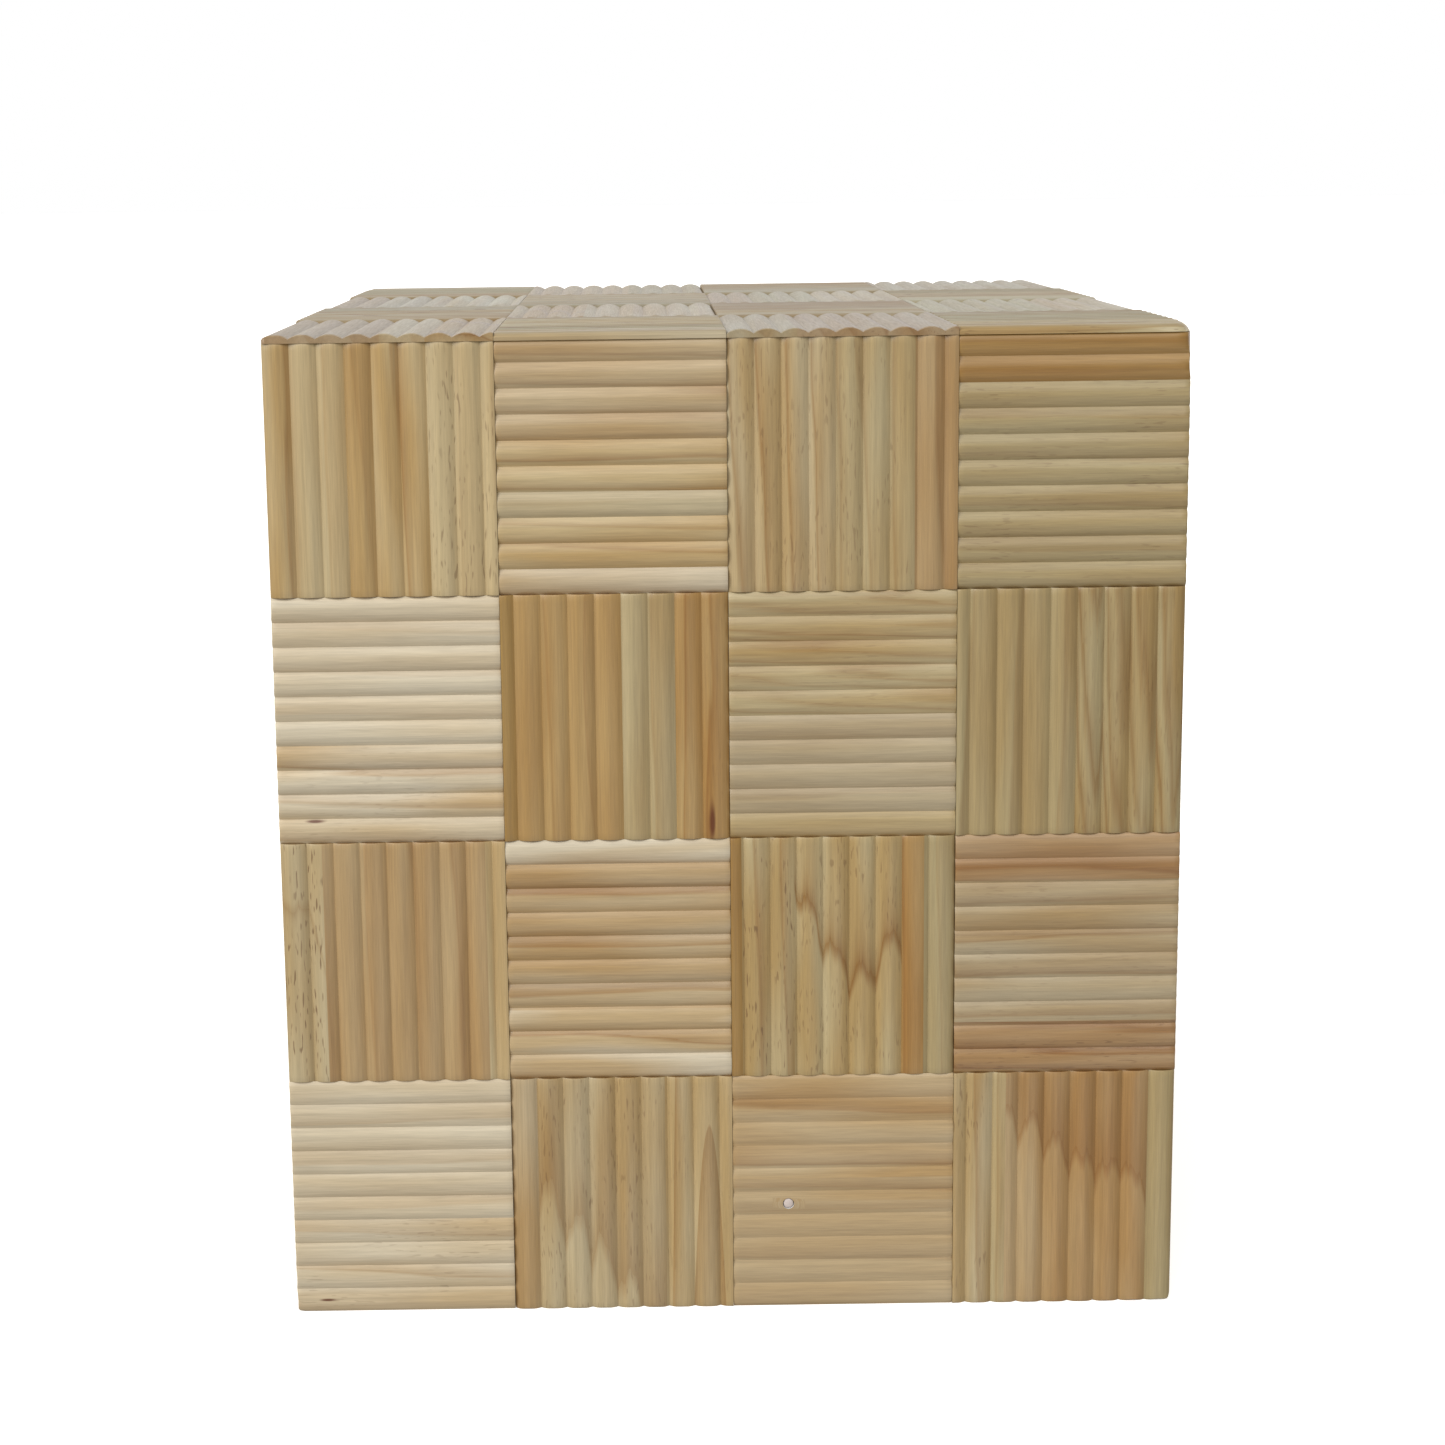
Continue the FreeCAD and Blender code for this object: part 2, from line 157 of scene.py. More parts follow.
class ReededTileSettings(bpy.types.PropertyGroup):
    """Sizes of the reeded tiles."""

    thickness: size_setting("Thickness", "Back of a tile to the crest of its ribs", row_depth())
    rib_height: size_setting("Rib height", "Groove to crest", 1.35 * MM)
    seam: size_setting("Seam", "Gap between the tiles of a row", 0.12 * MM)
    butting: size_setting("Butting", "How much further each row reaches to the next one", 0.18 * MM)
    sanding: size_setting("Edge sanding", "Round on the edges of each tile", 0.22 * MM)
    upright_ribs: number_setting("Upright ribs", "Ribs on an upright tile", 8.5)
    side_ribs: number_setting("Side ribs", "Ribs on an upright tile of the sides", 9.5)
    level_ribs: number_setting("Level ribs", "Ribs on a tile with level ribs", 10)
    lid_cut: number_setting("Cut at the lid", "Part of a rib that is cut off under the lid", 0.15)
    rib_steps: IntProperty(name="Rib steps", description="Faces across each rib", default=12)
    length_steps: IntProperty(name="Length steps", description="Faces along each rib", default=18)


class WoodSettings(bpy.types.PropertyGroup):
    """Colours of the woods."""

    cream: colour_setting("Cream", "Palest sapwood", "#C4B89F")
    straw: colour_setting("Straw", "Yellow sapwood", "#B9A67E")
    ash: colour_setting("Ash", "Pale plain wood", "#B5A684")
    stone: colour_setting("Stone", "Greyish sapwood", "#AA9A7B")
    olive: colour_setting("Olive", "Greenish sapwood", "#AD9D77")
    moss: colour_setting("Moss", "Darker greenish sapwood", "#A3936C")
    rose: colour_setting("Rose", "Pinkish tan heartwood", "#B29E7B")
    tan: colour_setting("Tan", "Orange tan heartwood", "#AB926A")
    clay: colour_setting("Clay", "Pinkish brown heartwood", "#A48B69")
    honey: colour_setting("Honey", "Golden wood", "#A98C5B")
    amber: colour_setting("Amber", "Golden brown wood", "#9C7C46")
    late_tint: colour_setting("Late wood", "Tint of the dark part of a year ring", "#D0B696")
    warm_tint: colour_setting("Warm bands", "Tint of the golden bands", "#EEDCBE")
    fleck: colour_setting("Flecks", "Resin flecks", "#5F4126")
    knot: colour_setting("Knots", "Small knots", "#5C2E10")


class StageSettings(bpy.types.PropertyGroup):
    """Floor, light and camera."""

    floor: colour_setting("Floor", "Pale floor", "#F8F7F5")
    glow: number_setting("Glow", "Strength of the light in the floor itself", 0.5)
    sky: number_setting("Sky", "Strength of the light from all round", 0.36)
    key: number_setting("Key", "Strength of the soft light from the upper left", 2.17)
    key_from: way_setting("Key from", "Way from the box to the key light", (-0.72, -0.47, 0.51))
    top: number_setting("Top", "Strength of the soft light above the front", 1.28)
    top_from: way_setting("Top from", "Way from the box to the top light", (0.0, -0.74, 0.67))
    back: number_setting("Back", "Strength of the soft light behind the box", 0.42)
    back_from: way_setting("Back from", "Way from the box to the back light", (0.0, 0.97, 0.25))
    fill: number_setting("Fill", "Strength of the light thrown up at the front", 0.35)
    fill_from: way_setting("Fill from", "Way from the box to the fill light", (0.2, -0.8, -0.55))
    far: number_setting("Far", "Strength of the light on the right side and back", 1.1)
    far_from: way_setting("Far from", "Way from the box to the far light", (0.74, 0.58, 0.25))
    spread: angle_setting("Spread", "Angle that each soft light fills", 52)
    camera: FloatVectorProperty(
        name="Camera", description="Place of the camera", default=(-0.0282, -0.9523, 0.3841),
        subtype="TRANSLATION", unit="LENGTH")
    yaw: angle_setting("Yaw", "Turn to the right", 0.06)
    pitch: angle_setting("Pitch", "Tip down", 9.37)
    roll: angle_setting("Roll", "Lean", -0.77)
    lens: number_setting("Lens", "Focal length in millimetres", 60.74)
    shift_right: number_setting("Shift right", "Camera's shift to the right", 0.054)
    shift_up: number_setting("Shift up", "Camera's shift up", -0.10)


# Nodes, with short names for the kinds that are used most

ATTRIBUTE = "ShaderNodeAttribute"
MATH = "ShaderNodeMath"
MIX = "ShaderNodeMix"
NOISE = "ShaderNodeTexNoise"
RANGE = "ShaderNodeMapRange"
SEPARATE = "ShaderNodeSeparateXYZ"
VECTOR = "ShaderNodeVectorMath"


def add_node(tree, kind, inputs=(), **settings):
    """Add a node with its settings and links, and return the first of its outputs in use."""
    node = tree.nodes.new(kind)
    for name, value in settings.items():
        setattr(node, name, value)
    sockets = [socket for socket in node.inputs if socket.enabled]
    for key, value in inputs.items() if isinstance(inputs, dict) else enumerate(inputs):
        socket = sockets[key] if isinstance(key, int) else next(s for s in sockets if s.name == key)
        for one in value if isinstance(value, list) else [value]:
            if isinstance(one, bpy.types.NodeSocket):
                tree.links.new(one, socket)
            elif one is not None:
                socket.default_value = one
    return next((socket for socket in node.outputs if socket.enabled), None)


# Shape of a reeded tile

TILE_INPUTS = (
    ("Geometry", "NodeSocketGeometry"),
    ("Corner", "NodeSocketVector"),
    ("Across", "NodeSocketVector"),
    ("Along", "NodeSocketVector"),
    ("Out", "NodeSocketVector"),
    ("Width", "NodeSocketFloat"),
    ("Length", "NodeSocketFloat"),
    ("Ribs", "NodeSocketFloat"),
    ("First rib", "NodeSocketFloat"),
    ("Rib radius", "NodeSocketFloat"),
    ("Thickness", "NodeSocketFloat"),
    ("Sanding", "NodeSocketFloat"),
    ("Rib steps", "NodeSocketInt"),
    ("Length steps", "NodeSocketInt"),
    ("Tile", "NodeSocketInt"),
    ("Wood", "NodeSocketMaterial"),
)

# Points of a tile's shell closer than this are one
SHELL_WELD = 0.01 * MM


def reeded_tile_tree():
    """Geometry Nodes tree that adds one reeded tile to the tiles made before it."""
    tree = bpy.data.node_groups.new("Reeded tile", "GeometryNodeTree")
    for name, kind in TILE_INPUTS:
        tree.interface.new_socket(name, in_out="INPUT", socket_type=kind)
    tree.interface.new_socket("Geometry", in_out="OUTPUT", socket_type="NodeSocketGeometry")
    given = add_node(tree, "NodeGroupInput").node.outputs

    # A flat grid, with its rows closest at the tile's two ends
    columns = add_node(tree, MATH, (given["Ribs"], given["Rib steps"], 1.0), operation="MULTIPLY_ADD")
    rows = add_node(tree, MATH, (given["Length steps"], 1.0), operation="ADD")
    flat = add_node(tree, "GeometryNodeMeshGrid", (1.0, 1.0, columns, rows))
    place = add_node(tree, "GeometryNodeInputPosition")
    grid = add_node(tree, SEPARATE, (place,)).node.outputs
    over = add_node(tree, MATH, (grid["X"], 0.5), operation="ADD")
    turn = add_node(tree, MATH, (grid["Y"], math.pi), operation="MULTIPLY")
    wave = add_node(tree, MATH, (turn,), operation="SINE")
    up = add_node(tree, MATH, (wave, 0.5, 0.5), operation="MULTIPLY_ADD")
    across = add_node(tree, MATH, (over, given["Width"]), operation="MULTIPLY")
    along = add_node(tree, MATH, (up, given["Length"]), operation="MULTIPLY")

    # Round ribs that meet in sharp grooves
    pitch = add_node(tree, MATH, (given["Width"], given["Ribs"]), operation="DIVIDE")
    count = add_node(tree, MATH, (over, given["Ribs"], given["First rib"]), operation="MULTIPLY_ADD")
    within = add_node(tree, MATH, (count,), operation="FRACT")
    from_crest = add_node(tree, MATH, (within, 0.5), operation="SUBTRACT")
    sideways = add_node(tree, MATH, (from_crest, pitch), operation="MULTIPLY")
    height = given["Thickness"]
    rounds = [(sideways, given["Rib radius"])]

    # Sanded edges
    for distance, size in ((across, given["Width"]), (along, given["Length"])):
        other = add_node(tree, MATH, (size, distance), operation="SUBTRACT")
        nearest = add_node(tree, MATH, (distance, other), operation="MINIMUM")
        inside = add_node(tree, MATH, (given["Sanding"], nearest), operation="SUBTRACT")
        rounds.append((add_node(tree, MATH, (inside, 0.0), operation="MAXIMUM"), given["Sanding"]))
    for offset, radius in rounds:
        square = add_node(tree, MATH, (radius, radius), operation="MULTIPLY")
        part = add_node(tree, MATH, (offset, offset), operation="MULTIPLY")
        left = add_node(tree, MATH, (square, part), operation="SUBTRACT")
        level = add_node(tree, MATH, (left,), operation="SQRT")
        drop = add_node(tree, MATH, (radius, level), operation="SUBTRACT")
        height = add_node(tree, MATH, (height, drop), operation="SUBTRACT")
    ribbed_place = add_node(tree, "ShaderNodeCombineXYZ", (across, along, height))
    ribbed = add_node(tree, "GeometryNodeSetPosition", {"Geometry": flat, "Position": ribbed_place})

    # Walls down to the flat back
    faces = add_node(tree, "GeometryNodeInputMeshEdgeNeighbors")
    rim = add_node(tree, "FunctionNodeCompare", (faces, 1), data_type="INT", operation="EQUAL")
    walls = add_node(
        tree, "GeometryNodeExtrudeMesh", {"Mesh": ribbed, "Selection": rim, "Offset Scale": 0.0},
        mode="EDGES")
    foot = walls.node.outputs["Top"]
    foot_place = add_node(tree, "ShaderNodeCombineXYZ", (grid["X"], grid["Y"], 0.0))
    open_tile = add_node(
        tree, "GeometryNodeSetPosition", {"Geometry": walls, "Selection": foot, "Position": foot_place})
    outline = add_node(tree, "GeometryNodeMeshToCurve", {"Mesh": open_tile, "Selection": foot})
    back = add_node(tree, "GeometryNodeFillCurve", {"Curve": outline}, mode="NGONS")
    shell = add_node(tree, "GeometryNodeJoinGeometry", {"Geometry": [open_tile, back]})
    tile = add_node(tree, "GeometryNodeMergeByDistance", {"Geometry": shell, "Distance": SHELL_WELD})

    # Each point keeps its place in the wood, in millimetres
    millimetres = add_node(tree, VECTOR, {"Vector": place, "Scale": 1 / MM}, operation="SCALE")
    store = "GeometryNodeStoreNamedAttribute"
    grained = add_node(
        tree, store, {"Geometry": tile, "Name": "grain", "Value": millimetres},
        data_type="FLOAT_VECTOR", domain="POINT")
    numbered = add_node(
        tree, store, {"Geometry": grained, "Name": "tile", "Value": given["Tile"]},
        data_type="INT", domain="FACE")

    # Set on the box
    spot = given["Corner"]
    for way, amount in (("Across", grid["X"]), ("Along", grid["Y"]), ("Out", grid["Z"])):
        step = add_node(tree, VECTOR, {"Vector": given[way], "Scale": amount}, operation="SCALE")
        spot = add_node(tree, VECTOR, (spot, step), operation="ADD")
    placed = add_node(tree, "GeometryNodeSetPosition", {"Geometry": numbered, "Position": spot})
    joined = add_node(tree, "GeometryNodeJoinGeometry", {"Geometry": [given["Geometry"], placed]})
    real = add_node(tree, "GeometryNodeRealizeInstances", {"Geometry": joined})
    finished = add_node(tree, "GeometryNodeSetMaterial", {"Geometry": real, "Material": given["Wood"]})
    add_node(tree, "NodeGroupOutput", (finished,))
    return tree


# Wood figure

Figure = namedtuple("Figure", "rings centre bend phase late fade")
Stave = namedtuple("Stave", "width tone figure flecks knot", defaults=(0.0, None))

# Place and radius of a knot that is far off any tile, and the height of the crests, in millimetres
NO_KNOT = (-500.0, -500.0, 1.0)
CREST = row_depth() / MM

# How much lighter or darker a stave may be, and the year rings that it may start from
STAVE_LIGHT = (0.97, 1.03)
FIRST_YEARS = (1, 60)


def lines(gap, lean=0.0, late=0.55, depth=0.8):
    """Year rings cut along their length, as lines that are gap millimetres apart."""
    return Figure((1 / gap, lean / gap, depth / gap), 0.0, 0.0, None, late, gap / 4)


def arch(edge, centre, bend, reach=70.0, above=True, late=0.9, relief=8.0, lean=0.0, fade=5.0):
    """A year ring cut flat: its edge on the crests at a height, and dark for a reach above or below it."""
    side = 1 if above else -1
    phase = (relief * CREST - side * (edge - lean * centre)) / reach
    rings = (-side * lean / reach, side / reach, -relief / reach)
    return Figure(rings, centre, -side * bend / reach, phase, late, fade)


# Staves of the front tiles, by row and column, each with its width in ribs. Their tones are partly the
# wood's own and partly painted shade: darker towards the right-hand column, where the light falls off
FRONT_STAVES = {
    (0, 0): (
        Stave(1.0, "straw", lines(12, 0.02, 0.7)),
        Stave(2.0, "straw", lines(11, 0.03, 0.5)),
        Stave(1.0, "honey", lines(12, 0.02, 0.3)),
        Stave(2.0, "straw", lines(13, 0.02, 0.75)),
        Stave(2.5, "straw", lines(13, 0.02, 0.3), 0.6)),
    (0, 1): (
        Stave(1.0, "cream", lines(16, 0.01, 0.8)),
        Stave(2.0, "straw", lines(9, 0.03, 0.6)),
        Stave(1.0, "ash", lines(18, 0.0, 0.2)),
        Stave(2.0, "straw", lines(10, 0.03, 0.85, 1.5)),
        Stave(4.0, "rose", lines(10, 0.03, 0.5, 1.5))),
    (0, 2): (
        Stave(4.0, "ash", lines(9, 0.04, 0.75, 1.5), 0.4),
        Stave(2.9, "olive", lines(9, 0.04, 0.6, 1.5), 0.4),
        Stave(1.6, "tan", lines(14, 0.02, 0.6))),
    (0, 3): (
        Stave(8.0, "moss", lines(14, 0.02, 0.4), 0.35),
        Stave(2.0, "amber", lines(9, 0.01, 0.4))),
    (1, 0): (
        Stave(4.0, "cream", lines(13, 0.05, 0.75), 0.2, (7.6, 12.0, 0.5)),
        Stave(6.0, "cream", lines(15, 0.02, 0.35))),
    (1, 1): (
        Stave(0.5, "amber", lines(15, 0.03, 0.3)),
        Stave(4.0, "honey", lines(15, 0.03, 0.4)),
        Stave(2.0, "olive", lines(17, 0.02, 0.5)),
        Stave(1.0, "honey", lines(10, 0.0, 0.8)),
        Stave(1.0, "honey", lines(9, 0.02, 0.8), 0.2, (69.2, 5.5, 1.15))),
    (1, 2): (
        Stave(1.0, "olive", lines(14, 0.01, 0.6)),
        Stave(4.0, "stone", lines(18, 0.01, 0.3)),
        Stave(5.0, "olive", lines(6, 0.07, 0.6, 3.0), 0.2)),
    (1, 3): (
        Stave(4.5, "moss", lines(16, -0.02, 0.45)),
        Stave(3.0, "moss", lines(6.5, 0.12, 0.8, 3.0), 0.3),
        Stave(1.0, "moss", lines(6.5, 0.12, 1.0, 3.0), 0.3)),
    (2, 0): (
        Stave(1.55, "ash", arch(62.0, 4.0, -0.25, 90.0, False, 0.5, 4.0, fade=2.5), 0.9),
        Stave(6.2, "tan", lines(15, 0.02, 0.45)),
        Stave(0.75, "straw", lines(12, 0.0, 0.4))),
    (2, 1): (
        Stave(2.95, "cream", lines(14, 0.02, 0.85)),
        Stave(6.05, "rose", lines(18, -0.01, 0.85)),
        Stave(1.0, "cream", lines(12, 0.0, 0.95))),
    (2, 2): (
        Stave(0.45, "amber", lines(9, 0.0, 0.4)),
        Stave(1.95, "olive", lines(9, 0.02, 0.65), 0.8),
        Stave(4.1, "olive", arch(43.0, 43.0, 0.07, 90.0, True, 1.0, fade=7.0), 0.5),
        Stave(0.8, "honey", lines(10, 0.0, 0.7)),
        Stave(1.2, "moss", lines(14, 0.01, 0.4))),
    (2, 3): (
        Stave(2.2, "clay", lines(8, 0.04, 0.95, 1.5), 0.6),
        Stave(5.9, "stone", lines(13, -0.02, 0.7), 0.2),
        Stave(1.9, "clay", lines(12, 0.02, 0.8))),
    (3, 0): (
        Stave(4.0, "cream", lines(16, 0.03, 0.55), 0.3, (4.5, 10.5, 0.45)),
        Stave(6.0, "cream", lines(15, -0.02, 0.35))),
    (3, 1): (
        Stave(1.0, "rose", lines(13, 0.02, 0.8)),
        Stave(4.9, "ash", arch(32.0, 22.0, 0.0, 130.0, True, 0.7, 9.0, -1.2, 30.0), 0.5),
        Stave(2.6, "ash", arch(64.0, 67.0, -2.2, 300.0, False, 0.8, 2.0, fade=70.0), 0.2)),
    (3, 2): (
        Stave(4.6, "rose", lines(18, 0.01, 0.3)),
        Stave(1.0, "rose", lines(9, 0.01, 0.5)),
        Stave(4.4, "rose", lines(20, 0.02, 0.8))),
    (3, 3): (
        Stave(1.5, "ash", lines(13, 0.03, 0.8), 0.5),
        Stave(0.5, "olive", lines(12, 0.0, 0.5)),
        Stave(5.5, "tan", arch(69.0, 26.0, 0.0, 150.0, True, 0.8, 8.0, -0.55, 50.0)),
        Stave(1.0, "moss", lines(15, 0.0, 0.3))),
}

# How often chance picks each tone, on most faces and on the top, where darker tones come up more often as
# painted shade
TONES = ("cream", "straw", "ash", "stone", "olive", "moss", "rose", "tan", "clay", "honey", "amber")
TONE_SHARES = (4, 5, 4, 3, 4, 3, 4, 4, 2, 2, 1)
SHADED_TOP_SHARES = (0, 1, 2, 3, 3, 4, 2, 4, 2, 0, 0)

# Share of the staves that have lines, and the flecks that chance picks from
LINES_SHARE = 0.86
CHANCE_FLECKS = (0.0, 0.0, 0.3, 0.7)


def chance_figure(chance, length):
    """A figure picked by chance: mostly lines, at times an arch."""
    if chance.random() < LINES_SHARE:
        gap = chance.uniform(9, 18)
        lean = chance.uniform(-0.05, 0.05)
        late = chance.uniform(0.3, 0.75)
        return lines(gap, lean, late)
    edge = chance.uniform(0.2, 0.8) * length
    bend = chance.uniform(0.04, 0.10)
    above = chance.random() < 0.5
    centre = chance.uniform(15, 60)
    reach = chance.uniform(45, 80)
    return arch(edge, centre, bend if above else -bend, reach, above)


def chance_staves(chance, width, length, least, most, shares=TONE_SHARES):
    """Glued staves picked by chance, to fill a width."""
    staves = []
    left = width
    while left > 0:
        size = chance.uniform(least, most)
        if left - size < least:
            size = left
        tone = chance.choices(TONES, shares)[0]
        flecks = chance.choice(CHANCE_FLECKS)
        staves.append(Stave(size, tone, chance_figure(chance, length), flecks))
        left -= size
    return staves


def face_grain(mesh):
    """Middle and extent of each face in the wood, in millimetres."""
    grain = np.zeros(len(mesh.vertices) * 3, np.float32)
    mesh.attributes["grain"].data.foreach_get("vector", grain)
    corners = np.zeros(len(mesh.loops), np.int32)
    mesh.loops.foreach_get("vertex_index", corners)
    starts = np.zeros(len(mesh.polygons), np.int32)
    mesh.polygons.foreach_get("loop_start", starts)
    points = grain.reshape(-1, 3)[corners]
    low = np.minimum.reduceat(points, starts, axis=0)
    high = np.maximum.reduceat(points, starts, axis=0)
    return (low + high) / 2, high - low


class WoodPaint:
    """Tone and figure of each face of a wooden piece."""

    def __init__(self, mesh, chance):
        self.mesh = mesh
        self.chance = chance
        faces = len(mesh.polygons)
        self.tone = np.zeros((faces, 4), np.float32)
        self.rings = np.zeros((faces, 3), np.float32)
        self.figure = np.zeros((faces, 3), np.float32)
        self.knot = np.zeros((faces, 3), np.float32)
        self.late = np.zeros(faces, np.float32)
        self.fade = np.ones(faces, np.float32)
        self.knot[:] = NO_KNOT

    def stave(self, chosen, stave):
        """Give the chosen faces the wood of one stave."""
        colours = bpy.context.scene.puzzle_woods
        light = self.chance.uniform(*STAVE_LIGHT)
        self.tone[chosen] = [part * light for part in getattr(colours, stave.tone)] + [stave.flecks]
        figure = stave.figure
        phase = self.chance.random() if figure.phase is None else figure.phase
        self.rings[chosen] = figure.rings
        self.figure[chosen] = (figure.centre, figure.bend, phase + self.chance.randint(*FIRST_YEARS))
        self.late[chosen] = figure.late
        self.fade[chosen] = figure.fade
        if stave.knot:
            self.knot[chosen] = stave.knot

    def store(self):
        """Keep it all on the mesh."""
        for name, kind, field, values in (
                ("tone", "FLOAT_COLOR", "color", self.tone),
                ("rings", "FLOAT_VECTOR", "vector", self.rings),
                ("figure", "FLOAT_VECTOR", "vector", self.figure),
                ("knot", "FLOAT_VECTOR", "vector", self.knot),
                ("late", "FLOAT", "value", self.late),
                ("fade", "FLOAT", "value", self.fade)):
            layer = self.mesh.attributes.new(name, kind, "FACE")
            layer.data.foreach_set(field, values.ravel())


# Materials

# Most of a noise lies between these two
SPREAD = (0.3, 0.7)
WOOD_IOR = 1.5


def solid(colour):
    """An sRGB hex colour, linear and with nothing seen through it."""
    return (*linear(colour), 1.0)


def start_material(name):
    """An empty node material."""
    material = bpy.data.materials.new(name)
    material.use_nodes = True
    material.node_tree.nodes.clear()
    return material, material.node_tree


def grain_noises(tree, place, sizes):
    """Noises drawn out along the grain, each with its width and length in millimetres."""
    noises = {}
    for key, wide, tall, detail in sizes:
        sized = add_node(tree, VECTOR, (place, (1 / wide, 1 / tall, 1 / wide)), operation="MULTIPLY")
        noises[key] = add_node(tree, NOISE, {"Vector": sized, "Scale": 1.0, "Detail": detail})
    return noises


def finish_material(tree, colour, gloss, relief, strength, depth, constants):
    """Close a material with its colour, its roughness, its relief and what is the same all over it."""
    bump = add_node(tree, "ShaderNodeBump", {"Strength": strength, "Distance": depth, "Height": relief})
    shader = add_node(tree, "ShaderNodeBsdfPrincipled", {
        "Base Color": colour, "Roughness": gloss, "Normal": bump, **constants})
    add_node(tree, "ShaderNodeOutputMaterial", {"Surface": shader})


def pine(name, roughness, fibre_depth):
    """Pine of many staves: wide soft year rings with one sharp side, fine fibres, and resin flecks."""
    colours = bpy.context.scene.puzzle_woods
    material, tree = start_material(name)
    layers = {}
    for layer in ("grain", "rings", "figure", "knot", "tone", "late", "fade"):
        layers[layer] = add_node(tree, ATTRIBUTE, attribute_name=layer).node.outputs
    grain = layers["grain"]["Vector"]
    rings = layers["rings"]["Vector"]
    tone = layers["tone"]["Color"]
    flecks = layers["tone"]["Alpha"]
    strength = layers["late"]["Fac"]
    fade_length = layers["fade"]["Fac"]
    at = add_node(tree, SEPARATE, (grain,)).node.outputs
    bow = add_node(tree, SEPARATE, (layers["figure"]["Vector"],)).node.outputs
    eye = add_node(tree, SEPARATE, (layers["knot"]["Vector"],)).node.outputs

    # Each stave is cut from its own place in the tree, this many millimetres from the next
    stave_apart = 47.0
    apart = add_node(tree, MATH, (bow["Z"], stave_apart), operation="MULTIPLY")
    shift = add_node(tree, "ShaderNodeCombineXYZ", (0.0, 0.0, apart))
    wood = add_node(tree, VECTOR, (grain, shift), operation="ADD")
    noises = grain_noises(tree, wood, (
        ("drift", 26, 150, 1), ("waver", 5, 60, 1), ("warmth", 11, 95, 1), ("streak", 1.2, 75, 3),
        ("fibre", 0.34, 11, 2), ("fleck", 0.6, 4.5, 0), ("patch", 8, 30, 1)))

    # A small knot, taller than wide, with the rings bent round it. Sizes are in radii of the knot
    knot_squash = 0.17
    swirl_reach = 7.0
    heart = (0.35, 1.25)
    aside = add_node(tree, MATH, (at["X"], eye["X"]), operation="SUBTRACT")
    above = add_node(tree, MATH, (at["Y"], eye["Y"]), operation="SUBTRACT")
    above = add_node(tree, MATH, (above, knot_squash), operation="MULTIPLY")
    away = add_node(tree, "ShaderNodeCombineXYZ", (aside, above, 0.0))
    length = add_node(tree, VECTOR, (away,), operation="LENGTH").node.outputs["Value"]
    distance = add_node(tree, MATH, (length, eye["Z"]), operation="DIVIDE")
    ragged = add_node(tree, RANGE, (noises["waver"], *SPREAD, 0.6, 1.5))
    distance = add_node(tree, MATH, (distance, ragged), operation="MULTIPLY")
    swirl = add_node(
        tree, RANGE, (distance, 0.0, swirl_reach, 0.4, 0.0), interpolation_type="SMOOTHSTEP")
    knot_heart = add_node(tree, RANGE, (distance, *heart, 0.95, 0.0), interpolation_type="SMOOTHSTEP")

    # Year rings, with waves of a few millimetres. Late wood fades slowly on one side and ends in a lip
    lip_width = 0.9
    plan = add_node(tree, VECTOR, (rings, (1.0, 1.0, 0.0)), operation="MULTIPLY")
    per_mm = add_node(tree, VECTOR, (plan,), operation="LENGTH").node.outputs["Value"]
    plain = add_node(tree, VECTOR, (grain, rings), operation="DOT_PRODUCT").node.outputs["Value"]
    beside = add_node(tree, MATH, (at["X"], bow["X"]), operation="SUBTRACT")
    beside = add_node(tree, MATH, (beside, beside), operation="MULTIPLY")
    ring = add_node(tree, MATH, (beside, bow["Y"], plain), operation="MULTIPLY_ADD")
    ring = add_node(tree, MATH, (ring, bow["Z"]), operation="ADD")
    ring = add_node(tree, MATH, (ring, swirl), operation="ADD")
    in_all = add_node(tree, VECTOR, (rings,), operation="LENGTH").node.outputs["Value"]
    for key, size, rate in (("drift", 9.0, per_mm), ("waver", 2.6, in_all), ("streak", 1.1, in_all)):
        wave = add_node(tree, RANGE, (noises[key], 0.0, 1.0, -size / 2, size / 2))
        ring = add_node(tree, MATH, (wave, rate, ring), operation="MULTIPLY_ADD")
    year = add_node(tree, MATH, (ring,), operation="FLOOR")
    season = add_node(tree, MATH, (ring,), operation="FRACT")
    growth = add_node(tree, "ShaderNodeTexWhiteNoise", {"W": year}, noise_dimensions="1D")
    growth = add_node(tree, RANGE, (growth, 0.0, 1.0, 0.6, 1.0))
    fade_part = add_node(tree, MATH, (fade_length, per_mm), operation="MULTIPLY")
    fade = add_node(tree, MATH, (season, fade_part), operation="DIVIDE")
    fade = add_node(tree, MATH, (fade, -1.0), operation="MULTIPLY")
    fade = add_node(tree, MATH, (fade,), operation="EXPONENT")
    brink = add_node(tree, MATH, (in_all, -lip_width, 1.0), operation="MULTIPLY_ADD")
    lip = add_node(tree, RANGE, (season, brink, 1.0, 0.0, 1.0), interpolation_type="SMOOTHSTEP")
    late = add_node(tree, MATH, (fade, lip), operation="MAXIMUM")
    late = add_node(tree, MATH, (late, strength), operation="MULTIPLY")
    late = add_node(tree, MATH, (late, growth), operation="MULTIPLY")

